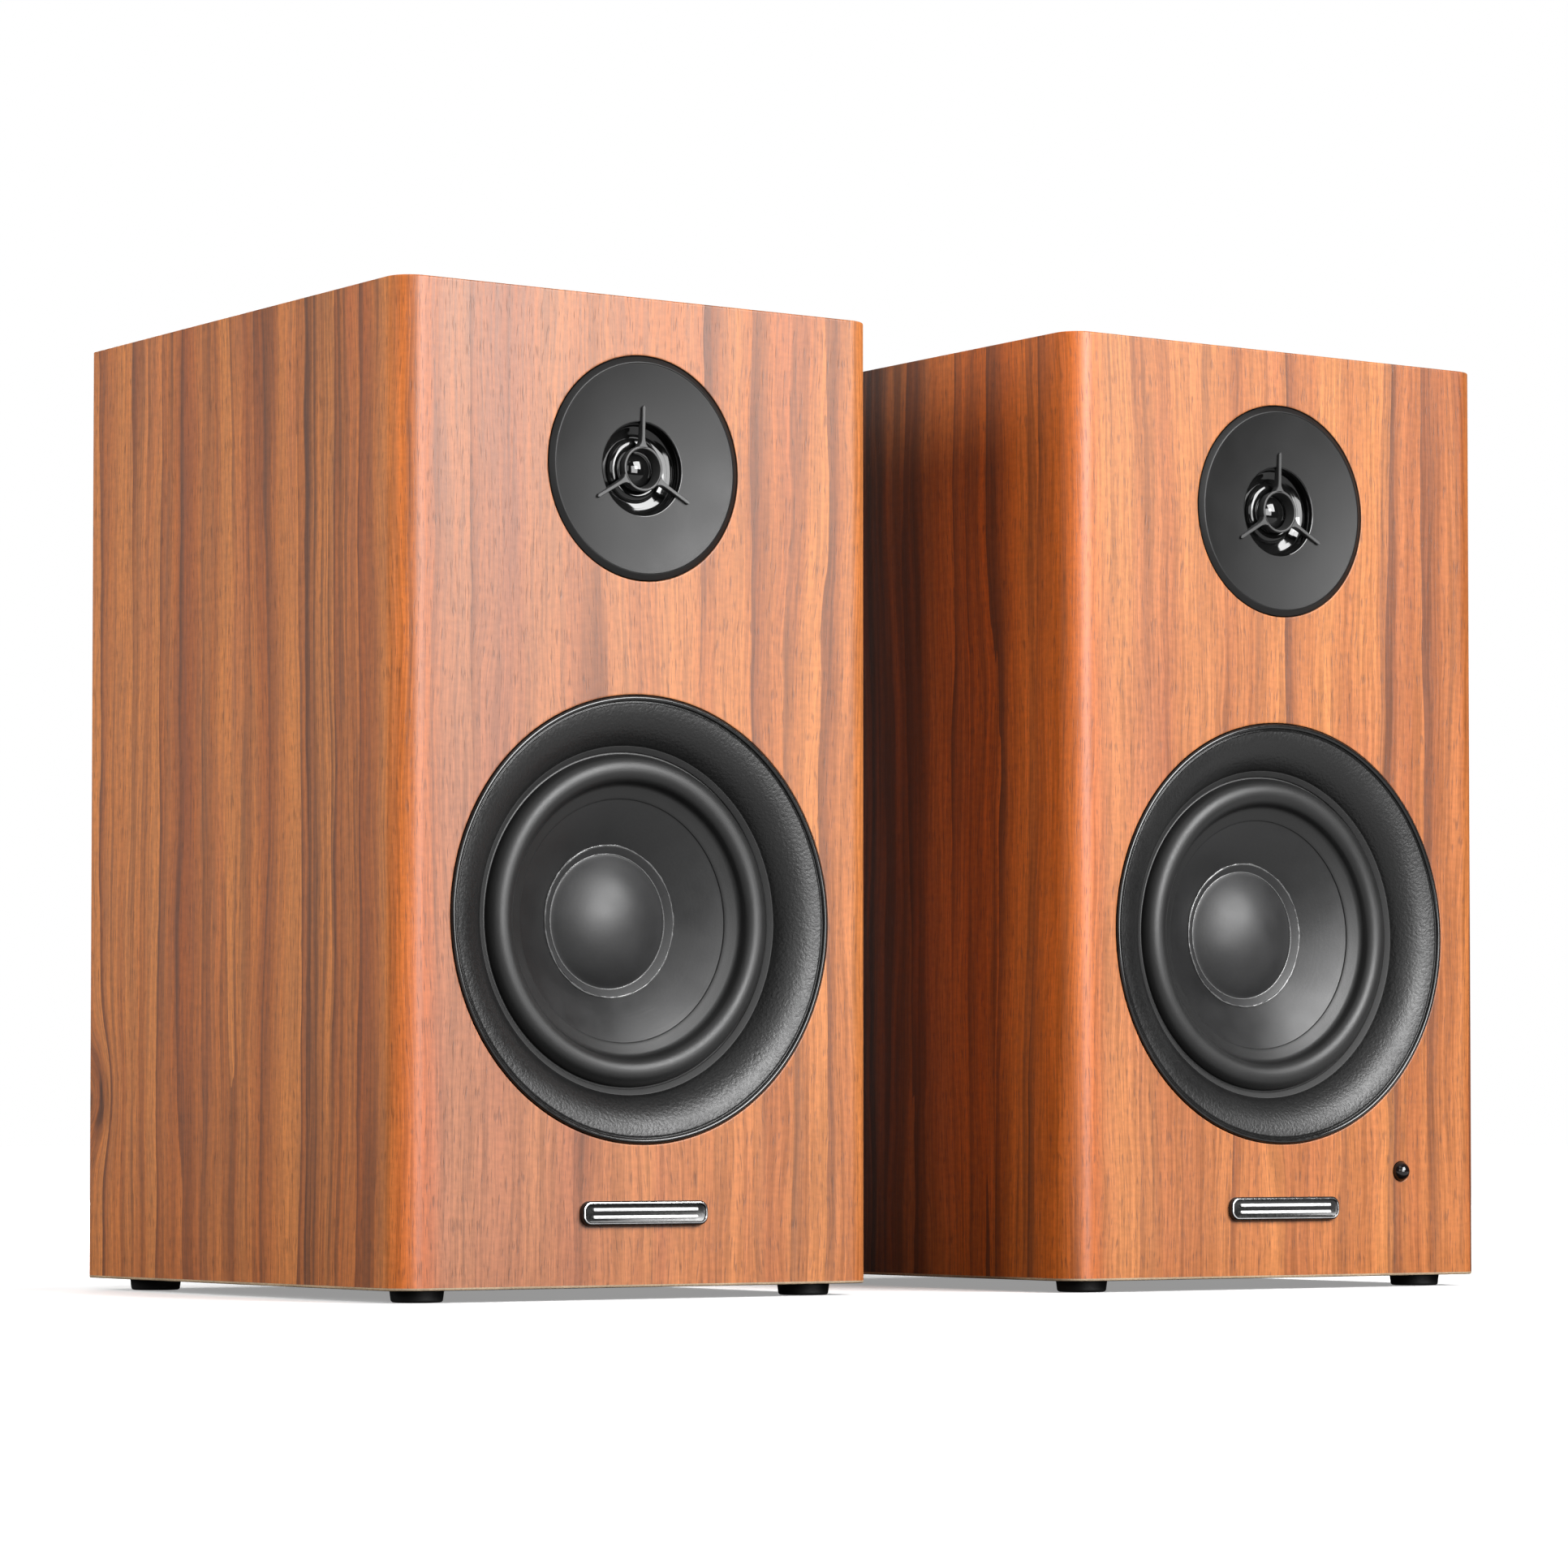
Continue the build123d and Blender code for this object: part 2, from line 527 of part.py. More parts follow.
FILM_T = 0.35
DOME_R, DOME_Y, DOME_APEX_Y = 8.0, 7.7, 5.6
FILM_SEAT_Y = COLLAR_Y + 0.5  # leaves the film room to move behind the collar
FILM_ROLL_R, FILM_ROLL_Y, FILM_ROLL_END_R, FILM_R = 10.7, 6.0, 13.2, 15.5
FILM_COIL_OUT, FILM_COIL_IN, FILM_COIL_END = DOME_R + 0.1, DOME_R - 0.4, 13.0

with BuildPart() as tweeter_diaphragm:
    with BuildSketch(TWEETER):
        with BuildLine():
            dome = ThreePointArc(
                (-DOME_R, DOME_Y),
                (0, DOME_APEX_Y),
                (DOME_R, DOME_Y),
            )
            roll = ThreePointArc(
                dome @ 1,
                (FILM_ROLL_R, FILM_ROLL_Y),
                (FILM_ROLL_END_R, FILM_SEAT_Y),
            )
            rim = Polyline(
                roll @ 1,
                (FILM_R, FILM_SEAT_Y),
                (FILM_R, FILM_SEAT_Y + FILM_T),
                (FILM_ROLL_END_R - 0.3, FILM_SEAT_Y + FILM_T),
            )
            under_roll = ThreePointArc(
                rim @ 1,
                (FILM_ROLL_R, FILM_ROLL_Y + FILM_T),
                (FILM_COIL_OUT, FILM_SEAT_Y + FILM_T),
            )
            coil = Polyline(
                under_roll @ 1,
                (FILM_COIL_OUT, FILM_COIL_END),
                (FILM_COIL_IN, FILM_COIL_END),
                (FILM_COIL_IN, DOME_Y + FILM_T),
            )
            under_dome = ThreePointArc(
                coil @ 1,
                (0, DOME_APEX_Y + FILM_T),
                (-FILM_COIL_IN, DOME_Y + FILM_T),
            )
            Line(under_dome @ 1, dome @ 0)
        make_face()
        split(bisect_by=Plane.YZ, keep=Keep.TOP)
    revolve(axis=TWEETER_AXIS)
tweeter_diaphragm.part.label = "tweeter_diaphragm"
save(tweeter_diaphragm.part, "tweeter_diaphragm")

COIL_GAP, GROOVE_END, MAGNET_COLLAR_R = 0.5, 16.3, 23.0

with BuildPart() as tweeter_magnet:
    # the collar holds the magnet back, so the film has its travel, and a groove takes its coil
    ring(0, TWEETER_MAGNET_R, TWEETER_MAGNET_Y, TWEETER_MAGNET_END, TWEETER_Z)
    chamfer(tweeter_magnet.edges().filter_by(GeomType.CIRCLE), HEAD_EDGE_R)
    ring(COLLAR_R, MAGNET_COLLAR_R, WAVE_BACK_Y, TWEETER_MAGNET_Y + HEAD_EDGE_R, TWEETER_Z)
    with BuildSketch(across(TWEETER_MAGNET_Y, 0, TWEETER_Z)):
        Circle(FILM_COIL_OUT + COIL_GAP)
        Circle(FILM_COIL_IN - COIL_GAP, mode=Mode.SUBTRACT)
    extrude(amount=TWEETER_MAGNET_Y - GROOVE_END, mode=Mode.SUBTRACT)
tweeter_magnet.part.label = "tweeter_magnet"
save(tweeter_magnet.part, "tweeter_magnet")

# ---- Badge and sensor lens ----------------------------------------------------------------------

with BuildPart() as badge:
    with BuildSketch(across(0, 0, BADGE_Z)):
        RectangleRounded(BADGE_W, BADGE_H, BADGE_R)
    extrude(amount=BADGE_T)
    chamfer(badge.edges().group_by(Axis.Y)[0], BADGE_EDGE)
    # two raised bars in a shallow tray
    with BuildSketch(across(-BADGE_T, 0, BADGE_Z)):
        RectangleRounded(BADGE_W - 2 * TRAY_RIM, BADGE_H - 2 * TRAY_RIM, BADGE_R - TRAY_RIM)
    extrude(amount=-TRAY_DEPTH, mode=Mode.SUBTRACT)
    with BuildSketch(across(TRAY_DEPTH - BADGE_T, 0, BADGE_Z)):
        with Locations((0, BAR_OFFSET), (0, -BAR_OFFSET)):
            SlotOverall(BADGE_W - 2 * BAR_MARGIN, BAR_H)
    extrude(amount=TRAY_DEPTH)
badge.part.label = "badge"
save(badge.part, "badge")

with BuildPart() as sensor_lens:
    with BuildSketch(radial(LENS_Z, LENS_X)):
        with BuildLine():
            dome = ThreePointArc((-LENS_R, 0), (0, -LENS_PROUD), (LENS_R, 0))
            Polyline(dome @ 1, (LENS_R, LENS_LENGTH), (-LENS_R, LENS_LENGTH), dome @ 0)
        make_face()
        split(bisect_by=Plane.YZ, keep=Keep.TOP)
    revolve(axis=turn_about(LENS_Z, LENS_X))
sensor_lens.part.label = "sensor_lens"
save(sensor_lens.part, "sensor_lens", ["right"])

# ---- Spring terminals ---------------------------------------------------------------------------


def terminal_pocket(x, z):
    """Adds a sunken pocket with a wire block and three ears to the plate being built."""
    half, outer = POCKET / 2, POCKET_BOX / 2
    pivot_z = z - PIVOT_DROP
    slab((x - outer, x + outer), (POCKET_FLOOR - POCKET_WALL, PLATE_BACK), (z - outer, z + outer))
    slab(
        (x - half, x + half),
        (POCKET_FLOOR, PLATE_FACE),
        (z - half, z + half),
        mode=Mode.SUBTRACT,
    )
    slab((x - half, x + half), (POCKET_FLOOR, BLOCK_FACE), (z - half, z + half - BLOCK_TOP_GAP))
    for ear in (-LEVER_PITCH, 0.0, LEVER_PITCH):
        slab(
            (x + ear - EAR_W / 2, x + ear + EAR_W / 2),
            (BLOCK_FACE, PIVOT_Y + EAR_NOSE),
            (pivot_z - EAR_HALF_H, pivot_z + EAR_HALF_H),
        )
    pivot_plane = Plane(origin=(x - half, PIVOT_Y, pivot_z), x_dir=(0, 1, 0), z_dir=(1, 0, 0))
    with BuildSketch(pivot_plane) as pivot_bore:
        Circle(PIN_R + PIN_GAP)
    extrude(pivot_bore.sketch, amount=POCKET, mode=Mode.SUBTRACT)
    with BuildSketch(across(BLOCK_FACE, x, pivot_z - WIRE_HOLE_DROP)) as wire_holes:
        with GridLocations(LEVER_PITCH, 1, 2, 1):
            Circle(WIRE_HOLE_R)
    extrude(wire_holes.sketch, amount=-WIRE_HOLE_DEPTH, mode=Mode.SUBTRACT)


def lever_at(x, z):
    """A sprung terminal lever: a leaning tab on a pivot pin."""
    pivot_z = z - PIVOT_DROP
    side = Plane(origin=(x - LEVER_W / 2, PIVOT_Y, pivot_z), x_dir=(0, 1, 0), z_dir=(1, 0, 0))
    pin = Plane(origin=(x - PIN_HALF, PIVOT_Y, pivot_z), x_dir=(0, 1, 0), z_dir=(1, 0, 0))
    with BuildPart() as lever:
        with BuildSketch(side):
            Circle(LEVER_HUB_R)
            with BuildLine():
                Polyline(
                    (-1.2, 1.5), (LEVER_HUB_R, 0), (7.6, 12.0), (6.8, 14.0), (4.2, 13.6), close=True
                )
            make_face()
        extrude(amount=LEVER_W)
        fillet(lever.edges().filter_by(Axis.X).group_by(Axis.Z)[-1], RIDGE_R)
        # two grip ridges on the outer face
        with BuildSketch(side):
            with Locations((5.6, 7.6), (6.7, 10.1)):
                Circle(RIDGE_R)
        extrude(amount=LEVER_W)
        with BuildSketch(pin):
            Circle(PIN_R)
        extrude(amount=2 * PIN_HALF)
    return lever.part


LEVERS = {"terminal_lever_red": LEVER_PITCH / 2, "terminal_lever_black": -LEVER_PITCH / 2}
for lever_name, lever_x in LEVERS.items():
    save(lever_at(lever_x, CUP_Z), lever_name, ["left"])
    save(lever_at(TERM_X + lever_x, TERM_Z), lever_name, ["right"])


def rear_screws(spots, centre_z):
    """Pan-head screws through a rear plate into the back board."""
    with BuildPart() as screws:
        with BuildSketch(across(PLATE_FACE, 0, centre_z)):
            with Locations(*spots):
                Circle(REAR_HEAD_R)
        extrude(amount=-REAR_HEAD_H)
        fillet(screws.edges().group_by(Axis.Y)[-1], HEAD_EDGE_R)
        with BuildSketch(across(PLATE_FACE + REAR_HEAD_H, 0, centre_z)):
            with Locations(*spots):
                Rectangle(RECESS_LENGTH, RECESS_W)
                Rectangle(RECESS_W, RECESS_LENGTH)
        extrude(amount=RECESS_DEPTH, mode=Mode.SUBTRACT)
        with BuildSketch(across(PLATE_FACE, 0, centre_z)):
            with Locations(*spots):
                Circle(SCREW_R)
        extrude(amount=REAR_SHANK)
    return screws.part


save(rear_screws(CUP_SCREWS, CUP_Z), "terminal_screws", ["left"])
save(rear_screws(AMP_SCREWS, AMP_Z), "panel_screws", ["right"])


def rear_plate(width, height, radius, z, screws):
    """Adds a rounded plate with its screw holes to the part being built."""
    with BuildSketch(across(PLATE_BACK, 0, z)) as outline:
        RectangleRounded(width, height, radius)
        with Locations(*screws):
            Circle(SCREW_HOLE_R, mode=Mode.SUBTRACT)
    extrude(outline.sketch, amount=-PLATE_T)


with BuildPart() as terminal_cup:
    rear_plate(CUP_W, CUP_H, CUP_CORNER_R, CUP_Z, CUP_SCREWS)
    terminal_pocket(0.0, CUP_Z)
terminal_cup.part.label = "terminal_cup"
save(terminal_cup.part, "terminal_cup", ["left"])

# ---- Crossover in the left speaker --------------------------------------------------------------

CROSSOVER_Y, CROSSOVER_W, CROSSOVER_D, STANDOFF = 140.0, 90.0, 60.0, 6.0
CROSSOVER_TOP = FLOOR + STANDOFF + BOARD_T

with BuildPart() as crossover_board:
    with BuildSketch(Plane.XY.offset(FLOOR + STANDOFF)):
        with Locations((0, CROSSOVER_Y)):
            Rectangle(CROSSOVER_W, CROSSOVER_D)
    extrude(amount=BOARD_T)
    with BuildSketch(Plane.XY.offset(FLOOR)):
        with Locations((0, CROSSOVER_Y)):
            with GridLocations(CROSSOVER_W - 10, CROSSOVER_D - 10, 2, 2):
                Circle(3.0)
    extrude(amount=STANDOFF)
    # air-core coil, iron-core coil and two capacitors
    with BuildSketch(Plane.XY.offset(CROSSOVER_TOP)):
        with Locations((-26, CROSSOVER_Y + 8)):
            Circle(15.0)
            Circle(8.0, mode=Mode.SUBTRACT)
    extrude(amount=12.0)
    slab((8, 38), (CROSSOVER_Y + 4, CROSSOVER_Y + 24), (CROSSOVER_TOP, CROSSOVER_TOP + 18))
    with BuildSketch(Plane.YZ.offset(4)):
        with Locations((CROSSOVER_Y - 6, CROSSOVER_TOP + 5), (CROSSOVER_Y - 20, CROSSOVER_TOP + 5)):
            Circle(5.6)
    extrude(amount=32.0)
crossover_board.part.label = "crossover_board"
save(crossover_board.part, "crossover_board", ["left"])

# ---- Amplifier in the right speaker -------------------------------------------------------------

KNOB_XS = {"volume_knob": KNOB_PITCH, "bass_knob": 0.0, "treble_knob": -KNOB_PITCH}
JACK_SPOTS = [(JACK_X, JACK_Z - JACK_PITCH / 2), (JACK_X, JACK_Z + JACK_PITCH / 2)]
JACK_TAIL_R = 3.6
INLET_W, INLET_H = 22.0, 15.0
HOUSING_WALL, HOUSING_FLOOR = 2.0, 196.0

with BuildPart() as amp_panel:
    rear_plate(AMP_W, AMP_H, AMP_CORNER_R, AMP_Z, AMP_SCREWS)
    terminal_pocket(TERM_X, TERM_Z)
    # shaft, jack and inlet holes
    with BuildSketch(across(PLATE_BACK, 0, 0)):
        with Locations(*[(x, KNOB_Z) for x in KNOB_XS.values()]):
            Circle(SHAFT_R + 0.6)
        with Locations(*JACK_SPOTS):
            Circle(JACK_TAIL_R + 0.05)
        with Locations((INLET_X, INLET_Z)):
            Rectangle(INLET_W + 0.2, INLET_H + 0.2)
    extrude(amount=-PLATE_T, mode=Mode.SUBTRACT)
    # switch housing behind the panel, with a raised rim in front
    with BuildSketch(across(HOUSING_FLOOR - 2.0, ROCKER_X, ROCKER_Z)):
        Rectangle(ROCKER_HOLE_W + 2 * HOUSING_WALL, ROCKER_HOLE_H + 2 * HOUSING_WALL)
    extrude(amount=HOUSING_FLOOR - 2.0 - PLATE_BACK)
    with BuildSketch(across(PLATE_FACE, ROCKER_X, ROCKER_Z)):
        RectangleRounded(ROCKER_HOLE_W + 5, ROCKER_HOLE_H + 5, 1.5)
    extrude(amount=-1.5)
    with BuildSketch(across(HOUSING_FLOOR, ROCKER_X, ROCKER_Z)):
        Rectangle(ROCKER_HOLE_W, ROCKER_HOLE_H)
    extrude(amount=-20.0, mode=Mode.SUBTRACT)
    rocker_side = Plane(
        origin=(ROCKER_X - ROCKER_HOLE_W / 2 - 1.0, ROCKER_Y, ROCKER_Z),
        x_dir=(0, 1, 0),
        z_dir=(1, 0, 0),
    )
    with BuildSketch(rocker_side):
        Circle(1.2 + PIN_GAP)
    extrude(amount=ROCKER_HOLE_W + 2.0, mode=Mode.SUBTRACT)
    # printed-style index marks round the knobs are raised pips
    with BuildSketch(across(PLATE_FACE, 0, 0)):
        for x in KNOB_XS.values():
            with Locations((x, KNOB_Z)):
                with PolarLocations(KNOB_R + 3.0, 11, start_angle=-60, angular_range=300):
                    Circle(0.5)
    extrude(amount=-0.4)
amp_panel.part.label = "amp_panel"
save(amp_panel.part, "amp_panel", ["right"])

for knob_name, knob_x in KNOB_XS.items():
    with BuildPart() as knob:
        with BuildSketch(across(PLATE_FACE + KNOB_GAP, knob_x, KNOB_Z)):
            Circle(KNOB_R)
        extrude(amount=-KNOB_H, taper=2)
        chamfer(knob.edges().group_by(Axis.Y)[-1], 0.8)
        # grip flutes and a pointer groove
        with BuildSketch(across(PLATE_FACE + KNOB_GAP + 2.0, knob_x, KNOB_Z)):
            with PolarLocations(KNOB_R + 0.2, 20, start_angle=9):
                Circle(0.7)
        extrude(amount=-KNOB_H, mode=Mode.SUBTRACT)
        with BuildSketch(across(PLATE_FACE + KNOB_GAP + KNOB_H, knob_x, KNOB_Z + 4.6)):
            Rectangle(1.0, 5.0)
        extrude(amount=0.6, mode=Mode.SUBTRACT)
        with BuildSketch(across(PLATE_FACE + KNOB_GAP, knob_x, KNOB_Z)):
            Circle(SHAFT_R)
        extrude(amount=PLATE_FACE + KNOB_GAP - SHAFT_END)
    save(knob.part, knob_name, ["right"])

with BuildPart() as power_rocker:
    with BuildSketch(rocker_side.offset(1.0 + 0.5)):
        with BuildLine():
            Polyline(
                (7.0, 9.4),
                (5.4, 0.0),
                (7.0, -9.4),
                (2.5, -9.4),
                (-2.2, -4.5),
                (-2.2, 4.5),
                (2.5, 9.4),
                close=True,
            )
        make_face()
    extrude(amount=ROCKER_HOLE_W - 1.0)
    with BuildSketch(rocker_side.offset(0.2)):
        Circle(1.2)
    extrude(amount=ROCKER_HOLE_W + 1.6)
off_tilt = Location((0, ROCKER_Y, ROCKER_Z)) * Rot(X=-ROCKER_TILT) * Location((0, -ROCKER_Y, -ROCKER_Z))
save(power_rocker.part.moved(off_tilt), "power_rocker", ["right"])

with BuildPart() as mains_inlet:
    with BuildSketch(across(PLATE_FACE, INLET_X, INLET_Z)):
        RectangleRounded(INLET_W + 6, INLET_H + 6, 2.0)
    extrude(amount=-1.5)
    slab(
        (INLET_X - INLET_W / 2, INLET_X + INLET_W / 2),
        (194.0, PLATE_FACE),
        (INLET_Z - INLET_H / 2, INLET_Z + INLET_H / 2),
    )
    with BuildSketch(across(PLATE_FACE + 1.5, INLET_X, INLET_Z)):
        SlotOverall(16.0, 8.6)
    extrude(amount=14.0, mode=Mode.SUBTRACT)
    with BuildSketch(across(PLATE_FACE + 1.5 - 14.0, INLET_X, INLET_Z)):
        with GridLocations(8.6, 1, 2, 1):
            Circle(1.2)
    extrude(amount=-10.0)
mains_inlet.part.label = "mains_inlet"
save(mains_inlet.part, "mains_inlet", ["right"])

with BuildPart() as rca_jacks:
    for x, z in JACK_SPOTS:
        ring(0, 6.6, PLATE_FACE, PLATE_FACE + 1.2, z, x)
        ring(0, JACK_R, PLATE_FACE + 1.2, PLATE_FACE + JACK_LENGTH, z, x)
        ring(0, JACK_TAIL_R, PLATE_BACK - 8.0, PLATE_FACE, z, x)
    with BuildSketch(across(PLATE_FACE + JACK_LENGTH, 0, 0)):
        with Locations(*JACK_SPOTS):
            Circle(1.6)
    extrude(amount=8.0, mode=Mode.SUBTRACT)
rca_jacks.part.label = "rca_jacks"
save(rca_jacks.part, "rca_jacks", ["right"])

POT_W = 13.0
BOARD_LOW, BOARD_HIGH = AMP_Z - 82.0, AMP_Z + 82.0

with BuildPart() as amp_board:
    slab((-50, 50), (BOARD_Y, BOARD_Y + BOARD_T), (BOARD_LOW, BOARD_HIGH))
    # a potentiometer behind each knob, bored for its shaft
    for x in KNOB_XS.values():
        slab(
            (x - POT_W / 2, x + POT_W / 2),
            (BOARD_Y + BOARD_T, PLATE_BACK - 1.5),
            (KNOB_Z - POT_W / 2, KNOB_Z + POT_W / 2),
        )
    with BuildSketch(across(SHAFT_END - 1.0, 0, KNOB_Z)):
        with Locations(*[(x, 0) for x in KNOB_XS.values()]):
            Circle(SHAFT_R + PIN_GAP)
    extrude(amount=-20.0, mode=Mode.SUBTRACT)
    # two reservoir capacitors and a finned heat sink on the inner side
    with BuildSketch(across(BOARD_Y, 0, AMP_Z)):
        with Locations((-30, -20), (-30, 6)):
            Circle(9.0)
    extrude(amount=30.0)
    slab((5, 45), (BOARD_Y - 4.0, BOARD_Y), (AMP_Z - 30, AMP_Z + 20))
    for fin in range(6):
        fin_x = 5.0 + fin * 7.6
        slab((fin_x, fin_x + 2.0), (BOARD_Y - 24.0, BOARD_Y - 4.0), (AMP_Z - 30, AMP_Z + 20))
amp_board.part.label = "amp_board"
save(amp_board.part, "amp_board", ["right"])

TRANSFORMER_Y, CORE_W, CORE_D, CORE_H = 118.0, 57.0, 28.0, 48.0

with BuildPart() as transformer:
    core_z = FLOOR + 1.5
    slab((-38, 38), (TRANSFORMER_Y - 14, TRANSFORMER_Y + 14), (FLOOR, core_z))
    slab(
        (-CORE_W / 2, CORE_W / 2),
        (TRANSFORMER_Y - CORE_D / 2, TRANSFORMER_Y + CORE_D / 2),
        (core_z, core_z + CORE_H),
    )
    slab((-19, 19), (TRANSFORMER_Y - 24, TRANSFORMER_Y + 24), (core_z + 8, core_z + CORE_H - 8))
    fillet(transformer.edges().filter_by(Axis.X).group_by(Axis.Y)[0], 3.0)
    fillet(transformer.edges().filter_by(Axis.X).group_by(Axis.Y)[-1], 3.0)
transformer.part.label = "transformer"
save(transformer.part, "transformer", ["right"])
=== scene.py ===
import math

import bmesh
import bpy
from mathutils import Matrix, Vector
from mathutils.geometry import tessellate_polygon

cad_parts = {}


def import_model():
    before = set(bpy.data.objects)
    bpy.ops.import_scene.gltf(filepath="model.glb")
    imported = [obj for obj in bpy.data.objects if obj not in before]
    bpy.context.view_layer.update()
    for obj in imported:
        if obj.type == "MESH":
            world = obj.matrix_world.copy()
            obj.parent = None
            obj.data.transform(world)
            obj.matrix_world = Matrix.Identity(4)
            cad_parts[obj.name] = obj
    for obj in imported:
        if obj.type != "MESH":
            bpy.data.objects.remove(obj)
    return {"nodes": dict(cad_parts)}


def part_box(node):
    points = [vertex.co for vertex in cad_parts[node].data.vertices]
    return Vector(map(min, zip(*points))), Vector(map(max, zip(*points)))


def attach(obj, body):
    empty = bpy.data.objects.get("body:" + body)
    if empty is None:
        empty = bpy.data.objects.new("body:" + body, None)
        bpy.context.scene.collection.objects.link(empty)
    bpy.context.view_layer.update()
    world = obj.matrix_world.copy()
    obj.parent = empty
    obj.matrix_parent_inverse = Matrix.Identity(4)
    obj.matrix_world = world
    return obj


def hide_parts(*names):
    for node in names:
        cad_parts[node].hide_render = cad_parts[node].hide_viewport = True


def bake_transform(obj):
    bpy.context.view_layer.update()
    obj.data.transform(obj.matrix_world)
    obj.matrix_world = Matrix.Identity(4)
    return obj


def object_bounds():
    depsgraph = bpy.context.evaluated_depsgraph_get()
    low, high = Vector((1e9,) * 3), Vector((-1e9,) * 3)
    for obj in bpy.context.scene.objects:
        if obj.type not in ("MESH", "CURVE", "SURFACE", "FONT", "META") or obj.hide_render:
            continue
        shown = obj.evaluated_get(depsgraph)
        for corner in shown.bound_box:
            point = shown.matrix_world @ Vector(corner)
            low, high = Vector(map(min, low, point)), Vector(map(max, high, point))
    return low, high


# A pair of two-way speakers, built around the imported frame. Every shape is drawn in millimetres
# in its speaker's own terms: X from the cabinet's middle, Y back from its front face (less than
# zero stands proud), Z up from the floor. Speaker.place() turns that into metres in the frame.

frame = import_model()
cad_box = [list(corner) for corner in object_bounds()]

MM = 0.001
TURN_STEPS = 176  # facets round a driver
SMALL_STEPS = 64  # facets round a foot, a lens or a knob
SHARP = math.radians(32)  # edges that turn by more than this stay crisp


# ---- Outlines -----------------------------------------------------------------------------------


def arc(start, middle, end, steps=16):
    """Points from start to end along the circle through the three points."""
    (ax, ay), (bx, by), (cx, cy) = start, middle, end
    double = 2 * (ax * (by - cy) + bx * (cy - ay) + cx * (ay - by))
    a, b, c = ax * ax + ay * ay, bx * bx + by * by, cx * cx + cy * cy
    ox = (a * (by - cy) + b * (cy - ay) + c * (ay - by)) / double
    oy = (a * (cx - bx) + b * (ax - cx) + c * (bx - ax)) / double
    radius = math.hypot(ax - ox, ay - oy)
    first = math.atan2(ay - oy, ax - ox)
    sweep = (math.atan2(cy - oy, cx - ox) - first) % math.tau
    if (math.atan2(by - oy, bx - ox) - first) % math.tau > sweep:
        sweep -= math.tau
    angles = [first + sweep * i / steps for i in range(steps + 1)]
    return [(ox + radius * math.cos(t), oy + radius * math.sin(t)) for t in angles]


def rounded(points, radius, steps=5):
    """The open line with its inner corners eased off over the given length."""
    result = [points[0]]
    for before, corner, after in zip(points, points[1:], points[2:]):
        p, q, r = Vector(before), Vector(corner), Vector(after)
        start = q + (p - q).normalized() * min(radius, (p - q).length / 2)
        end = q + (r - q).normalized() * min(radius, (r - q).length / 2)
        for i in range(steps + 1):
            t = i / steps
            result.append(tuple(start.lerp(q, t).lerp(q.lerp(end, t), t)))
    return [*result, points[-1]]


def rounded_rectangle(width, height, radius, steps=8):
    """Points and outward directions round a rectangle with round corners."""
    points = []
    for corner in range(4):
        x = (width / 2 - radius) * (1 if corner in (0, 3) else -1)
        z = (height / 2 - radius) * (1 if corner in (0, 1) else -1)
        for i in range(steps + 1):
            t = math.pi / 2 * (corner + i / steps)
            nx, nz = math.cos(t), math.sin(t)
            points.append((x + radius * nx, z + radius * nz, nx, nz))
    return points


# ---- The speakers and their meshes --------------------------------------------------------------


class Speaker:
    """Where a speaker stands and the places of its parts, taken from the frame."""

    def __init__(self, side):
        self.side = side
        low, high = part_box(f"{side}_cabinet_wrap")
        self.origin = Vector(((low.x + high.x) / 2, low.y, 0))
        self.width, self.depth = (high.x - low.x) / MM, (high.y - low.y) / MM
        self.bottom, self.top = low.z / MM, high.z / MM
        self.woofer = self.spot("woofer_trim_ring")
        self.tweeter = self.spot("tweeter_waveguide")

    def place(self, point):
        return self.origin + Vector(point) * MM

    def local(self, node):
        """A node's lowest and highest corners in the speaker's own millimetres."""
        low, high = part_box(f"{self.side}_{node}")
        return (low - self.origin) / MM, (high - self.origin) / MM

    def spot(self, node):
        """The x and z of a node's middle."""
        low, high = self.local(node)
        return ((low.x + high.x) / 2, (low.z + high.z) / 2)

    def radius(self, node):
        """Half a node's width."""
        low, high = self.local(node)
        return (high.x - low.x) / 2


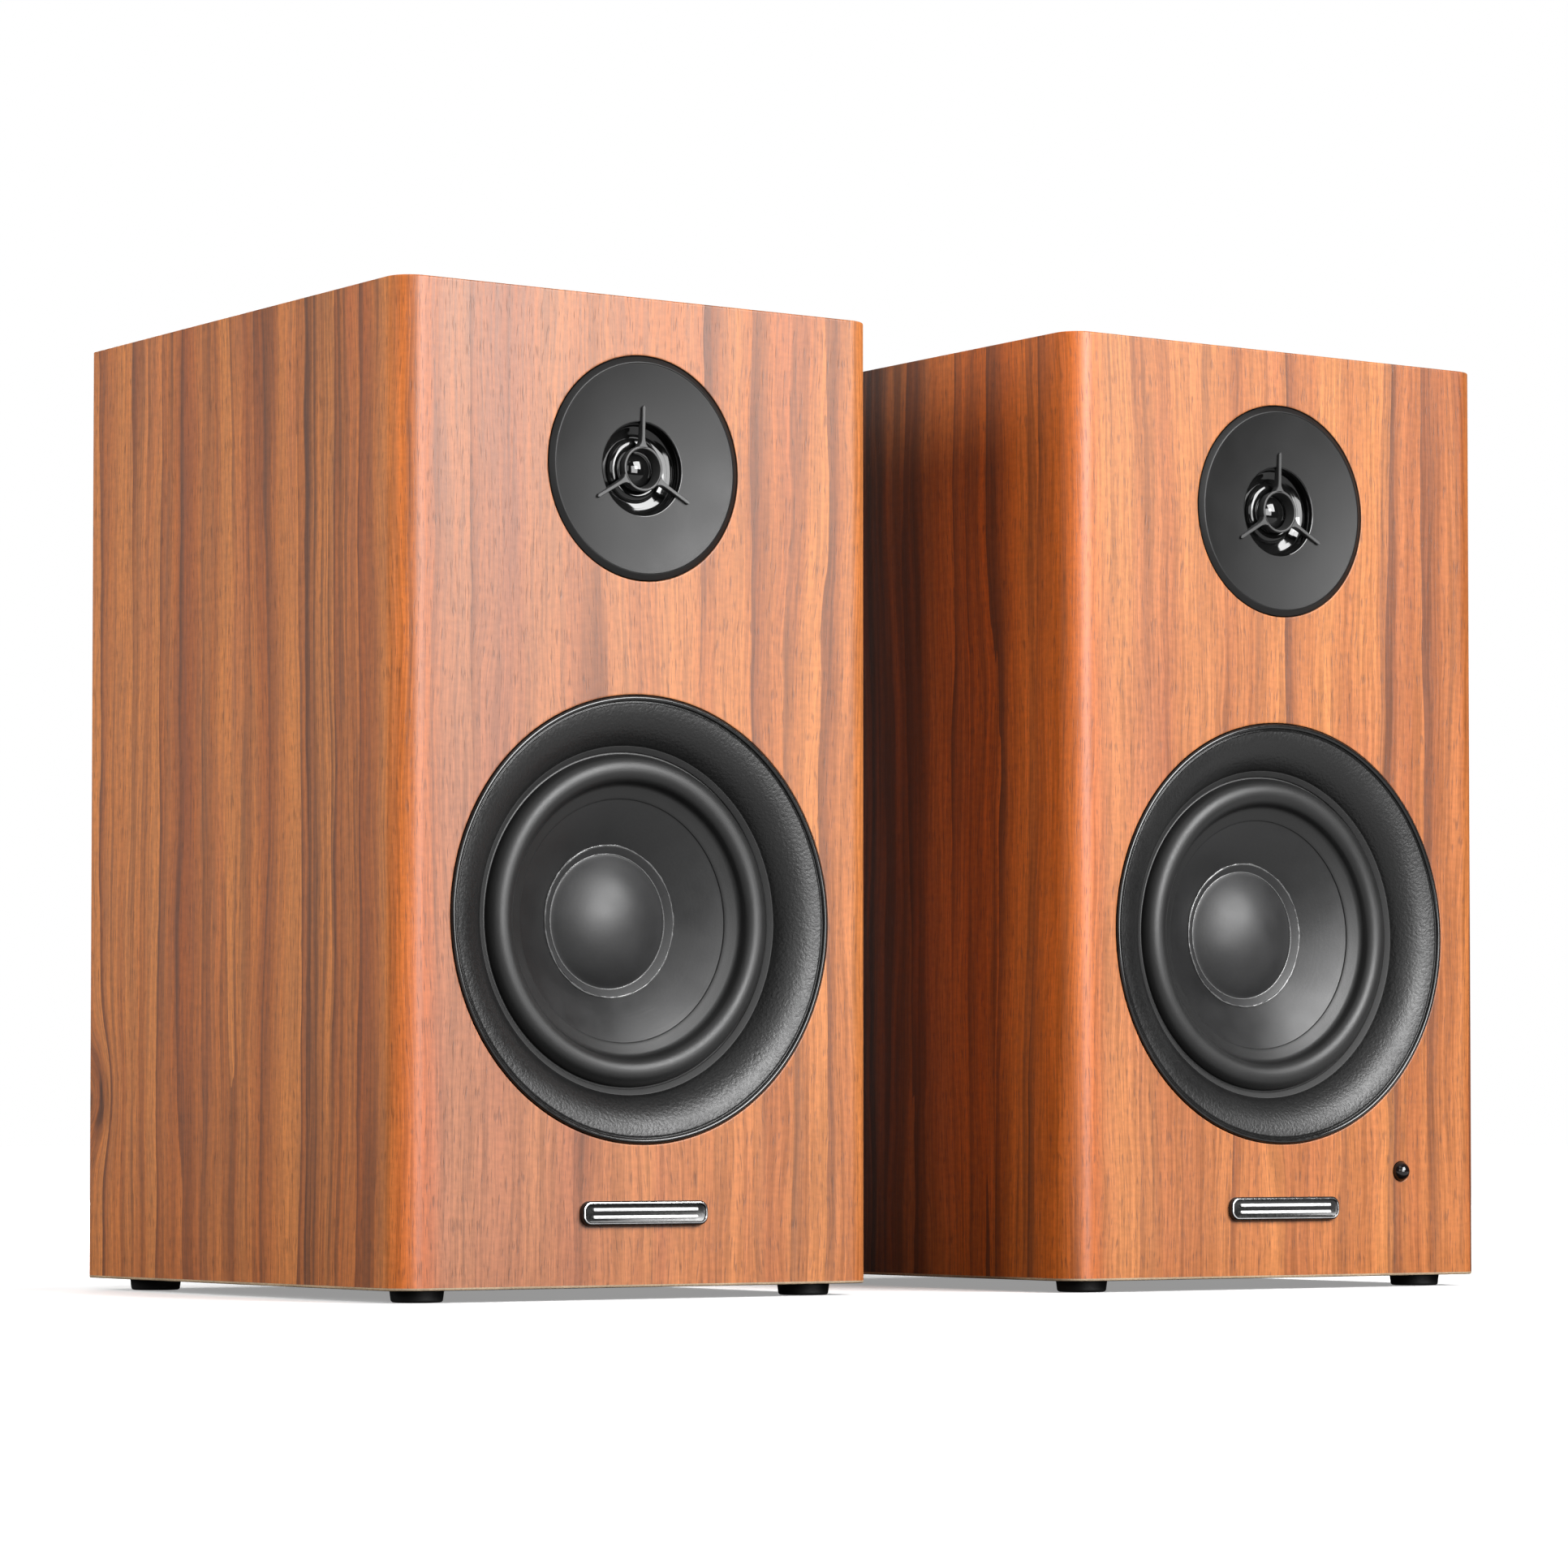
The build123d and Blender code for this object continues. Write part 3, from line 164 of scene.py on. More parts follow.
class Shape:
    """Gathers the vertices and faces of one piece."""

    def __init__(self, speaker):
        self.speaker = speaker
        self.vertices, self.faces, self.finishes = [], [], []

    def loop(self, points):
        """Adds points and returns their numbers."""
        first = len(self.vertices)
        self.vertices += [self.speaker.place(p) for p in points]
        return list(range(first, len(self.vertices)))

    def face(self, corners, finish=0):
        self.faces.append(corners)
        self.finishes.append(finish)

    def band(self, one, two, finish=0):
        """Joins two closed loops, either of which may be a single point."""
        count = max(len(one), len(two))
        for i in range(count):
            j = (i + 1) % count
            a, b = (one[i], one[j]) if len(one) > 1 else (one[0], None)
            c, d = (two[j], two[i]) if len(two) > 1 else (two[0], None)
            self.face([v for v in (a, b, c, d) if v is not None], finish)

    def stack(self, loops, finish=0):
        """A solid through closed loops of points, closed with a face at each end."""
        rings = [self.loop(points) for points in loops]
        for one, two in zip(rings, rings[1:]):
            self.band(one, two, finish)
        self.face(rings[0][::-1], finish)
        self.face(rings[-1], finish)

    def fill(self, rings, finish=0):
        """Fills a flat outline, the first ring, round its holes, the other rings."""
        flat = [[self.vertices[i] for i in ring] for ring in rings]
        numbers = [i for ring in rings for i in ring]
        for triangle in tessellate_polygon(flat):
            self.face([numbers[i] for i in triangle], finish)

    def turn(self, sections, spot, steps=TURN_STEPS):
        """Turns a closed outline of (radius, depth) about a front-to-rear axis through spot.
        The outline is (finish, points) sections, each going on from the last."""
        points, kinds = [], []
        for finish, section in sections:
            for point in section:
                if points and math.dist(points[-1], point) < 1e-4:
                    continue
                if points:
                    kinds.append(finish)
                points.append(point)
        rings = [self.loop(circle(spot, r, y, steps)) for r, y in points]
        if math.dist(points[0], points[-1]) < 1e-4:
            rings[-1] = rings[0]
        for one, two, finish in zip(rings, rings[1:], kinds):
            self.band(one, two, finish)
        return rings

    def done(self, name, body, node, materials, sharp=SHARP):
        """Makes the object. It stands for the CAD node, and rides on the body unless that is None.
        The names are given without the side they all begin with."""
        side = self.speaker.side
        name = f"{side}_{name}"
        mesh = bpy.data.meshes.new(name)
        mesh.from_pydata(self.vertices, [], self.faces)
        for polygon, finish in zip(mesh.polygons, self.finishes):
            polygon.material_index = finish
        model = bmesh.new()
        model.from_mesh(mesh)
        bmesh.ops.remove_doubles(model, verts=model.verts, dist=0.002 * MM)
        bmesh.ops.dissolve_degenerate(model, edges=model.edges, dist=0.0005 * MM)
        bmesh.ops.delete(model, geom=[v for v in model.verts if not v.link_faces], context="VERTS")
        bmesh.ops.recalc_face_normals(model, faces=model.faces)
        for face in model.faces:
            face.smooth = True
        for edge in model.edges:
            edge.smooth = edge.calc_face_angle(0) < sharp
        model.to_mesh(mesh)
        model.free()
        for material in materials:
            mesh.materials.append(material)
        piece = bpy.data.objects.new(name, mesh)
        bpy.context.scene.collection.objects.link(piece)
        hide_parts(f"{side}_{node}")
        if body:
            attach(piece, f"{side}_{body}")
        return piece


def circle(spot, radius, depth, steps):
    """A ring of points facing the front, or its one middle point where the radius is nothing."""
    if radius < 1e-6:
        return [(spot[0], depth, spot[1])]
    angles = [math.tau * i / steps for i in range(steps)]
    return [(spot[0] + radius * math.cos(t), depth, spot[1] + radius * math.sin(t)) for t in angles]


# ---- Materials ----------------------------------------------------------------------------------


def rgb(red, green, blue):
    """A screen colour, 0 to 255 each, as the linear colour that shaders use."""
    parts = [c / 255 for c in (red, green, blue)]
    return (*[c / 12.92 if c <= 0.04045 else ((c + 0.055) / 1.055) ** 2.4 for c in parts], 1)


class Finish:
    """Builds one material's nodes. Every method gives an output to use in the next."""

    def __init__(self, name, **sockets):
        self.material = bpy.data.materials.new(name)
        self.material.use_nodes = True
        self.nodes = self.material.node_tree.nodes
        self.links = self.material.node_tree.links
        self.shader = self.nodes["Principled BSDF"]
        for socket, value in sockets.items():
            self.put(self.shader.inputs[socket.replace("_", " ")], value)

    def put(self, socket, value):
        if isinstance(value, bpy.types.NodeSocket):
            self.links.new(value, socket)
        else:
            socket.default_value = value

    def node(self, kind, *values, **settings):
        """Adds a node. A dict among the values fills inputs by name, and other values in order."""
        made = self.nodes.new(kind)
        for key, value in settings.items():
            setattr(made, key, value)
        for number, value in enumerate(values):
            if isinstance(value, dict):
                for key, inner in value.items():
                    self.put(made.inputs[key], inner)
            else:
                self.put(made.inputs[number], value)
        return made

    def math(self, operation, *values):
        return self.node("ShaderNodeMath", *values, operation=operation).outputs[0]

    def spread(self, value, low, high, to_low=0.0, to_high=1.0):
        """The value eased from low..high to to_low..to_high, and kept within it."""
        node = self.node(
            "ShaderNodeMapRange", value, low, high, to_low, to_high, interpolation_type="SMOOTHSTEP"
        )
        return node.outputs[0]

    def point(self):
        """The place on the object, in millimetres in the frame."""
        place = self.node("ShaderNodeTexCoord").outputs["Object"]
        return self.node("ShaderNodeVectorMath", place, {"Scale": 1 / MM}, operation="SCALE").outputs[0]

    def scaled(self, x, y, z=0.0):
        return self.node("ShaderNodeCombineXYZ", x, y, z).outputs[0]

    def noise(self, vector, size=1.0, detail=2.0, rough=0.5):
        values = {"Vector": vector, "Scale": 1 / size, "Detail": detail, "Roughness": rough}
        return self.node("ShaderNodeTexNoise", values).outputs["Fac"]

    def vary(self, noise, low, high):
        """A noise spread over low..high."""
        return self.spread(noise, 0.3, 0.7, low, high)

    def mix(self, amount, one, two, blend="MIX"):
        node = self.node("ShaderNodeMix", data_type="RGBA", blend_type=blend)
        self.put(node.inputs["Factor"], amount)
        self.put(node.inputs[6], one)
        self.put(node.inputs[7], two)
        return node.outputs[2]

    def toned(self, color, level):
        """The colour made lighter or darker by the level."""
        return self.mix(1, color, self.scaled(level, level, level), "MULTIPLY")

    def bump(self, height, depth):
        """Relief of the given depth in millimetres."""
        return self.node("ShaderNodeBump", {"Height": height, "Distance": depth * MM}).outputs["Normal"]

    def use(self, **sockets):
        for socket, value in sockets.items():
            self.put(self.shader.inputs[socket.replace("_", " ")], value)
        return self.material


WOOD_LIGHT = rgb(200, 124, 66)
WOOD_MID = rgb(178, 103, 52)
WOOD_DEEP = rgb(148, 79, 40)
WOOD_STREAK = rgb(90, 54, 36)
WOOD_PINK = rgb(180, 98, 66)
# painted sheen: a paler, duller tone laid over the fronts, strongest on the left speaker
WOOD_PAINTED_SHEEN = rgb(156, 100, 76)
# painted bounce light: a saturated orange on the left speaker's front edge and the front of the right
# speaker's inner side
WOOD_PAINTED_BOUNCE = rgb(210, 100, 16)
# dark heartwood for the knots' eyes, and on the right speaker's inner side also a painted shade
WOOD_HEART_AND_SHADE = rgb(50, 27, 17)
PRINT_WHITE = rgb(214, 214, 210)


def walnut(speaker, name, seed, across_top=False, knot=None, streaks=(), heart_and_shade=None, painted_light_tints=()):
    """Printed wood vinyl: bands, flowing dark streaks, fine fibres and pores, grain upright on the
    front and sides, and from front to back on the top. Places round the cabinet are measured from
    the front's middle, less than zero to the left. Stretches of it carry painted light: a paler
    tone for painted sheen, a warm orange for painted bounce light, and dark heartwood that is also
    painted shade."""
    f = Finish(name, Specular_IOR_Level=0.15 if across_top else 0.42)
    split = f.node("ShaderNodeSeparateXYZ", f.point()).outputs
    x = f.math("SUBTRACT", split[0], speaker.origin.x / MM)
    y = f.math("SUBTRACT", split[1], speaker.origin.y / MM)
    if across_top:
        u, v = x, y
    else:
        u = f.math("ADD", x, f.math("MULTIPLY", f.math("SIGN", x), y))
        v = split[2]

    def figure(base, wide, tall, number, detail=2, rough=0.5):
        """Noise of the given width across the grain and height along it, in millimetres."""
        place = f.scaled(f.math("DIVIDE", base, wide), f.math("DIVIDE", v, tall), seed + number)
        return f.noise(place, 1, detail, rough)

    # slow wander of the grain, and a knot that pushes it aside
    wander = figure(u, 70, 240, 0)
    ripple = figure(u, 9, 46, 4)
    grain = f.math("ADD", u, f.math("MULTIPLY", f.math("SUBTRACT", wander, 0.5), 18))
    grain = f.math("ADD", grain, f.math("MULTIPLY", f.math("SUBTRACT", ripple, 0.5), 3.4))
    if knot:
        at_u, at_v, size, push = knot
        du = f.math("DIVIDE", f.math("SUBTRACT", u, at_u), size)
        dv = f.math("DIVIDE", f.math("SUBTRACT", v, at_v), size * 1.5)
        away = f.math("ADD", f.math("MULTIPLY", du, du), f.math("MULTIPLY", dv, dv))
        near = f.math("EXPONENT", f.math("MULTIPLY", away, -1))
        grain = f.math("ADD", grain, f.math("MULTIPLY", near, push))

    # soft bands of colour
    broad = figure(grain, 19, 620, 1, 3, 0.55)
    color = f.mix(f.spread(broad, 0.36, 0.62), WOOD_LIGHT, WOOD_MID)
    color = f.mix(f.spread(broad, 0.54, 0.74, 0, 0.75), color, WOOD_DEEP)
    blush = figure(grain, 34, 260, 7)
    color = f.mix(f.spread(blush, 0.5, 0.72, 0, 0.4), color, WOOD_PINK)
    # painted light: each tint covers a stretch of the cabinet, a paler tone for painted sheen and a
    # warm orange for painted bounce light
    for tint, begins, full, holds, ends, amount in painted_light_tints:
        stretch = f.math("MULTIPLY", f.spread(u, begins, full), f.spread(u, holds, ends, amount, 0.0))
        color = f.mix(stretch, color, tint)

    # growth lines: each is crisp on one side and fades on the other
    uneven = f.math("MULTIPLY", f.math("SUBTRACT", broad, 0.5), 40)
    rings = f.math("FRACT", f.math("DIVIDE", f.math("ADD", grain, uneven), -23))
    strength = figure(grain, 24, 420, 2, 1)
    sides = f.spread(y, 6, 24, 0.0, 0.12) if not across_top else 0.04
    strength = f.spread(f.math("ADD", strength, sides), 0.42, 0.66)
    wide = f.math("MULTIPLY", f.spread(rings, 0.35, 1.0, 0, 0.8), strength)
    color = f.mix(wide, color, WOOD_DEEP)
    crisp = f.math("MULTIPLY", f.spread(rings, 0.80, 0.99, 0, 0.62), strength)
    color = f.mix(crisp, color, WOOD_STREAK)

    # long dark streaks
    streak = figure(grain, 7, 500, 3, 3, 0.65)
    streak = f.math("ADD", streak, f.math("MULTIPLY", sides, 0.4))
    color = f.mix(f.spread(streak, 0.58, 0.74, 0, 0.52), color, WOOD_STREAK)
    for at, width, amount in streaks:
        # crisp on the left, fading to the right, and broken up along its length
        across = f.math("DIVIDE", f.math("SUBTRACT", grain, at), width)
        fade = f.math("MULTIPLY", f.spread(across, -0.06, 0.02), f.spread(across, 0.0, 1.0, 1.0, 0.0))
        broken = figure(grain, 2.6, 160, at, 3)
        fade = f.math("MULTIPLY", fade, f.spread(broken, 0.34, 0.62, 0.35 * amount, amount))
        color = f.mix(fade, color, WOOD_STREAK)
    if heart_and_shade:
        # dark heartwood that comes in gradually over its width, with paler lines left in it; it lies
        # where the other cabinet shades the side, so it is also a painted shade
        begins, full, amount = heart_and_shade
        lines = f.spread(figure(grain, 6, 260, 11, 3), 0.36, 0.60, amount * 0.55, amount)
        color = f.mix(f.math("MULTIPLY", f.spread(u, begins, full), lines), color, WOOD_HEART_AND_SHADE)
    if knot:
        eye = figure(grain, 5, 22, 5, 3)
        dark = f.math("MULTIPLY", f.spread(near, 0.35, 0.95), f.spread(eye, 0.40, 0.62, 0.15, 0.85))
        color = f.mix(dark, color, WOOD_HEART_AND_SHADE)

    # fibres and pores
    fibre = figure(grain, 1.5, 75, 6, 4, 0.75)
    color = f.toned(color, f.spread(fibre, 0.34, 0.66, 0.73, 1.17))
    pore = figure(grain, 0.55, 7, 8, 1)
    color = f.mix(f.spread(pore, 0.57, 0.69, 0, 0.5), color, WOOD_STREAK)
    flake = figure(grain, 3.4, 1.9, 9)
    color = f.toned(color, f.vary(flake, 0.93, 1.06))

    height = f.math("ADD", f.math("MULTIPLY", fibre, 0.6), f.math("MULTIPLY", flake, 0.5))
    height = f.math("SUBTRACT", height, f.math("MULTIPLY", f.spread(pore, 0.62, 0.72), 0.5))
    smooth = 0.60 if across_top else 0.37  # dust and handling dull the top
    rough = f.vary(fibre, smooth, smooth + 0.10)
    return f.use(Base_Color=color, Roughness=rough, Normal=f.bump(height, 0.05))


def moulded(name, tone, rough, grain=0.6, depth=0.03, tint=(1, 1, 1), printed=None, **sockets):
    """Moulded plastic or rubber: a pebble of the given size over a slightly uneven tone. The
    printed function gives a mask for white print."""
    f = Finish(name, **sockets)
    place = f.point()
    pebble = f.noise(place, grain, 2, 0.6)
    cloud = f.noise(place, 24, 2)
    level = f.math("MULTIPLY", f.vary(cloud, 0.9, 1.1), f.vary(pebble, 0.92, 1.08))
    color = f.toned((*[tone * t for t in tint], 1), level)
    if printed:
        color = f.mix(printed(f), color, PRINT_WHITE)
    gloss = f.math("ADD", f.vary(pebble, -0.04, 0.04), f.vary(cloud, rough - 0.03, rough + 0.03))
    return f.use(Base_Color=color, Roughness=gloss, Normal=f.bump(pebble, depth))


# the groove in a knob's face: half its width, its ends measured up from the middle, and its depth
GROOVE_HALF, GROOVE_LOW, GROOVE_HIGH, GROOVE_DEEP = 0.52, 2.08, 7.12, 0.7


def pointer_groove(f):
    """The upright groove in each knob's face, which is filled with white."""
    boxes = [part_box(f"right_{name}_knob") for name in ("volume", "bass", "treble")]
    split = f.node("ShaderNodeSeparateXYZ", f.point()).outputs
    gaps = []
    for low, high in boxes:
        middle = (low.x + high.x) / 2 / MM
        gaps.append(f.math("ABSOLUTE", f.math("SUBTRACT", split[0], middle)))
    sideways = f.math("MINIMUM", f.math("MINIMUM", gaps[0], gaps[1]), gaps[2])
    low, high = boxes[0]
    upwards = f.math("SUBTRACT", split[2], (low.z + high.z) / 2 / MM)
    groove = f.math("LESS_THAN", sideways, GROOVE_HALF)
    groove = f.math("MULTIPLY", groove, f.math("GREATER_THAN", upwards, GROOVE_LOW))
    groove = f.math("MULTIPLY", groove, f.math("LESS_THAN", upwards, GROOVE_HIGH))
    floor_y = high.y / MM - GROOVE_DEEP
    return f.math("MULTIPLY", groove, f.math("GREATER_THAN", split[1], floor_y))


def paper(name, tone, spot, rough):
    """Pressed and coated pulp: fibres that run every way, and faint rings from the press."""
    f = Finish(name, Specular_IOR_Level=0.45)
    place = f.point()
    fibre = f.noise(place, 0.9, 4, 0.7)
    cloud = f.noise(place, 11, 3)
    split = f.node("ShaderNodeSeparateXYZ", place).outputs
    dx, dz = f.math("SUBTRACT", split[0], spot[0]), f.math("SUBTRACT", split[2], spot[1])
    radius = f.math("SQRT", f.math("ADD", f.math("MULTIPLY", dx, dx), f.math("MULTIPLY", dz, dz)))
    rings = f.noise(f.scaled(f.math("DIVIDE", radius, 1.1), 0.0), 1, 2)
    level = f.math("MULTIPLY", f.vary(cloud, 0.9, 1.1), f.vary(fibre, 0.9, 1.1))
    color = f.toned((tone, tone, tone * 1.03, 1), level)
    height = f.math("ADD", fibre, f.math("MULTIPLY", rings, 0.6))
    gloss = f.vary(cloud, rough - 0.03, rough + 0.04)
    return f.use(Base_Color=color, Roughness=gloss, Normal=f.bump(height, 0.02))


def board(name, tone, tint, size=0.8):
    """Raw or painted fibreboard."""
    f = Finish(name)
    place = f.point()
    fibre = f.noise(place, size, 4, 0.7)
    cloud = f.noise(place, 18, 2)
    level = f.math("MULTIPLY", f.vary(cloud, 0.88, 1.12), f.vary(fibre, 0.8, 1.2))
    color = f.toned((*[tone * t for t in tint], 1), level)
    return f.use(Base_Color=color, Roughness=f.vary(fibre, 0.62, 0.82), Normal=f.bump(fibre, 0.06))


def metal(name, color, rough):
    """Bright metal with fine drawn lines."""
    f = Finish(name, Metallic=1.0)
    split = f.node("ShaderNodeSeparateXYZ", f.point()).outputs
    across, along = f.math("DIVIDE", split[0], 0.15), f.math("DIVIDE", split[2], 2)
    lines = f.noise(f.scaled(across, along), 1, 3)
    tone = f.toned((*color, 1), f.vary(f.noise(f.point(), 9, 3), 0.82, 1.1))
    gloss = f.vary(lines, rough - 0.06, rough + 0.08)
    return f.use(Base_Color=tone, Roughness=gloss, Normal=f.bump(lines, 0.006))


def woven(name, color, pitch=0.7):
    """Open resin-treated cloth."""
    f = Finish(name, Roughness=0.8)
    split = f.node("ShaderNodeSeparateXYZ", f.point()).outputs
    warp = f.math("SINE", f.math("MULTIPLY", split[0], math.tau / pitch))
    weft = f.math("SINE", f.math("MULTIPLY", split[2], math.tau / pitch))
    weave = f.math("MULTIPLY", warp, weft)
    tone = f.toned((*color, 1), f.spread(weave, -1, 1, 0.75, 1.1))
    return f.use(Base_Color=tone, Normal=f.bump(weave, 0.08))


# finishes of the pieces that both speakers share, by the record's slots
FINISHES = {
    "black_board": board("black_board", 0.018, (1, 1, 1), 0.5),
    "foot_rubber": moulded("foot_rubber", 0.012, 0.6, 0.5, 0.04),
    "port_plastic": moulded("port_plastic", 0.016, 0.42, 0.5, 0.03),
    "trim_plastic": moulded("trim_plastic", 0.007, 0.42, 1.0, 0.16, Specular_IOR_Level=0.44),
    "basket_steel": moulded("basket_steel", 0.02, 0.45, 0.8, 0.03),
    "black_screws": moulded("black_screws", 0.02, 0.28, 1.5, 0.01, Metallic=0.6),
    "surround_rubber": moulded("surround_rubber", 0.010, 0.45, 0.5, 0.02, Specular_IOR_Level=0.42),
    "spider_cloth": woven("spider_cloth", (0.42, 0.28, 0.1)),
    "coil_former": metal("coil_former", (0.75, 0.75, 0.76), 0.3),
    "motor_steel": metal("motor_steel", (0.5, 0.5, 0.5), 0.32),
    "ferrite": moulded("ferrite", 0.03, 0.55, 1.2, 0.05),
    "waveguide_plastic": moulded("waveguide_plastic", 0.008, 0.43, 0.3, 0.008, Specular_IOR_Level=0.25),
    "tweeter_film": moulded("tweeter_film", 0.006, 0.10, 5.0, 0.004),
    "badge_plate": moulded("badge_plate", 0.012, 0.25, 1.0, 0.01),
    "lever_red": moulded("lever_red", 0.5, 0.3, 1.0, 0.01, (1, 0.04, 0.03)),
    "lever_black": moulded("lever_black", 0.015, 0.3, 1.0, 0.01),
    "terminal_plastic": moulded("terminal_plastic", 0.018, 0.4, 0.6, 0.03),
    "circuit_board": moulded("circuit_board", 0.2, 0.35, 3.0, 0.02, (0.15, 1, 0.4)),
    "sensor_plastic": moulded("sensor_plastic", 0.008, 0.06, 4.0, 0.002, (1, 0.7, 0.7)),
    "panel_paint": moulded("panel_paint", 0.022, 0.42, 0.5, 0.035),
    "transformer_steel": metal("transformer_steel", (0.32, 0.32, 0.33), 0.42),
    "knob_plastic": moulded("knob_plastic", 0.018, 0.38, 0.5, 0.02, printed=pointer_groove),
    "rocker_plastic": moulded("rocker_plastic", 0.014, 0.22, 1.5, 0.008),
    "inlet_plastic": moulded("inlet_plastic", 0.014, 0.35, 0.7, 0.02),
    "jack_metal": metal("jack_metal", (0.9, 0.68, 0.3), 0.2),
}
TRIM_LIP = moulded("trim_lip", 0.012, 0.16, 2.0, 0.006)
TRIM_SEAT = moulded("trim_seat", 0.03, 0.6, 0.6, 0.03, Specular_IOR_Level=0.25)
FILM_EDGE = moulded("throat_gloss", 0.006, 0.09, 5.0, 0.003)
GUARD_PLASTIC = moulded("guard_plastic", 0.034, 0.5, 0.4, 0.01)
GLUE = moulded("clear_glue", 0.13, 0.14, 0.6, 0.05)
RAW_BOARD = board("raw_board", 0.42, (1, 0.72, 0.46))
# painted shade: the raw board made darker and browner for the walls of the holes and the cabinet's
# insides
SHADED_HOLE_BOARD = board("shaded_hole_board", 0.10, (1, 0.42, 0.2))
CHROME = metal("bright_line", (0.86, 0.86, 0.87), 0.16)
BAR_WHITE = moulded("bar_white", 0.78, 0.3, 1.2, 0.01)


# ---- Cabinet ------------------------------------------------------------------------------------

EDGE_R, EDGE_STEPS = 9.0, 16  # rounded upright front edges
FRONT_T, SIDE_T = 18.0, 12.0
RIM, KEEPER = 0.5, 0.4  # eased edges, and the flat strip beside them that keeps the faces flat
MOUTH = 0.35  # eased mouths of the holes
BOARD_EDGE = 0.25  # eased edges of the top and bottom boards
TRIM_GAP, LENS_GAP = 0.3, 0.1
WOOFER_STEPS = [(66.8, 3.0), (66.8, 12.2), (58.5, 12.2), (58.5, FRONT_T)]
TWEETER_STEPS = [(32.5, 3.0), (32.5, FRONT_T)]

SIDES, TOP, RAW, SHADED_HOLE = range(4)


def cabinet_outline(speaker, inset):
    """The folded board seen from above, with its outer side moved in by inset."""
    half, depth = speaker.width / 2, speaker.depth
    flat = half - EDGE_R
    outer = [(half - RIM, depth, 0, 1), (half, depth - RIM, 1, 0), (half, EDGE_R + KEEPER, 1, 0)]
    for i in range(EDGE_STEPS + 1):
        t = math.pi / 2 * i / EDGE_STEPS
        ahead, across = math.sin(t), math.cos(t)
        outer.append((flat + EDGE_R * across, EDGE_R * (1 - ahead), across, -ahead))
    outer.append((flat - KEEPER, 0, 0, -1))
    mirrored = [(-x, y, -nx, ny) for x, y, nx, ny in reversed(outer)]
    inner = [(half - SIDE_T, FRONT_T), (half - SIDE_T, depth)]
    points = [(x - inset * nx, y - inset * ny) for x, y, nx, ny in outer + mirrored]
    return points + [(-x, y) for x, y in reversed(inner)] + inner, len(outer)


def front_hole(shape, spot, radius, steps_back, steps):
    """Cuts a stepped hole with an eased mouth. Returns its ring on the face and at the back."""
    reach = radius + MOUTH
    angles = [math.pi / 2 * i / 4 for i in range(5)]
    mouth = [(radius + MOUTH * (1 - math.sin(t)), MOUTH * (1 - math.cos(t))) for t in angles]
    line = [(reach + KEEPER, 0), *mouth, (radius, steps_back[0][1]), *steps_back]
    rings = [shape.loop(circle(spot, r, y, steps)) for r, y in line]
    for number, (one, two) in enumerate(zip(rings, rings[1:])):
        shape.band(one, two, SIDES if number < 3 else SHADED_HOLE)
    return rings[0], rings[-1]


def cabinet(speaker):
    """The front and both sides, folded as one board round the front edges."""
    shape = Shape(speaker)
    angles = (0, math.pi / 6, math.pi / 3, math.pi / 2)
    ease = [(RIM * (1 - math.sin(t)), RIM * (1 - math.cos(t))) for t in angles]
    levels = [(inset, speaker.bottom + rise) for inset, rise in ease]
    levels.append((0, speaker.bottom + RIM + KEEPER))
    levels.append((0, speaker.top - RIM - KEEPER))
    levels += [(inset, speaker.top - rise) for inset, rise in reversed(ease)]
    rings, corner = [], 0
    for inset, z in levels:
        points, corner = cabinet_outline(speaker, inset)
        rings.append(shape.loop([(x, y, z) for x, y in points]))
    count, middle = len(rings[0]), len(levels) // 2 - 1
    inner_front = count - 3
    for level, (one, two) in enumerate(zip(rings, rings[1:])):
        outside = RAW if level < len(ease) else SIDES
        for i in range(count):
            j = (i + 1) % count
            if level == middle and i in (corner - 1, inner_front):
                continue  # the front's two faces are filled round their holes further on
            shape.face([one[i], one[j], two[j], two[i]], SHADED_HOLE if i >= 2 * corner else outside)
    shape.fill([rings[0]], RAW)
    shape.fill([rings[-1]], TOP)

    trim = speaker.radius("woofer_trim_ring") + TRIM_GAP
    wave = speaker.radius("tweeter_waveguide") + TRIM_GAP
    holes = [
        front_hole(shape, speaker.woofer, trim, WOOFER_STEPS, TURN_STEPS),
        front_hole(shape, speaker.tweeter, wave, TWEETER_STEPS, TURN_STEPS),
    ]
    if speaker.side == "right":
        lens = speaker.radius("sensor_lens") + LENS_GAP
        spot = speaker.spot("sensor_lens")
        holes.append(front_hole(shape, spot, lens, [(lens, FRONT_T)], SMALL_STEPS))
    low, high = rings[middle], rings[middle + 1]
    a, b = corner - 1, corner
    shape.fill([[low[a], low[b], high[b], high[a]], *[front for front, _ in holes]], SIDES)
    a, b = inner_front, inner_front + 1
    shape.fill([[low[a], low[b], high[b], high[a]], *[back for _, back in holes]], SHADED_HOLE)
    woods = [speaker.wood, speaker.wood_top, RAW_BOARD, SHADED_HOLE_BOARD]
    shape.done("folded_cabinet", "speaker", "cabinet_wrap", woods)


def eased_board(speaker, node, name, material):
    """A plain board with eased edges, the size of its CAD node."""
    low, high = speaker.local(node)
    model = bmesh.new()
    bmesh.ops.create_cube(model, size=1)
    for vertex in model.verts:
        spot = [low[k] if vertex.co[k] < 0 else high[k] for k in range(3)]
        vertex.co = speaker.place(spot)
    offset = BOARD_EDGE * MM
    bmesh.ops.bevel(model, geom=model.edges, offset=offset, segments=3, profile=0.5, affect="EDGES")
    shape = Shape(speaker)
    shape.vertices = [v.co.copy() for v in model.verts]
    shape.faces = [[v.index for v in face.verts] for face in model.faces]
    shape.finishes = [0] * len(shape.faces)
    model.free()
    shape.done(name, "speaker", node, [material])


FOOT_R, FOOT_EDGE, FOOT_BRIM = 8.75, 1.0, 0.5


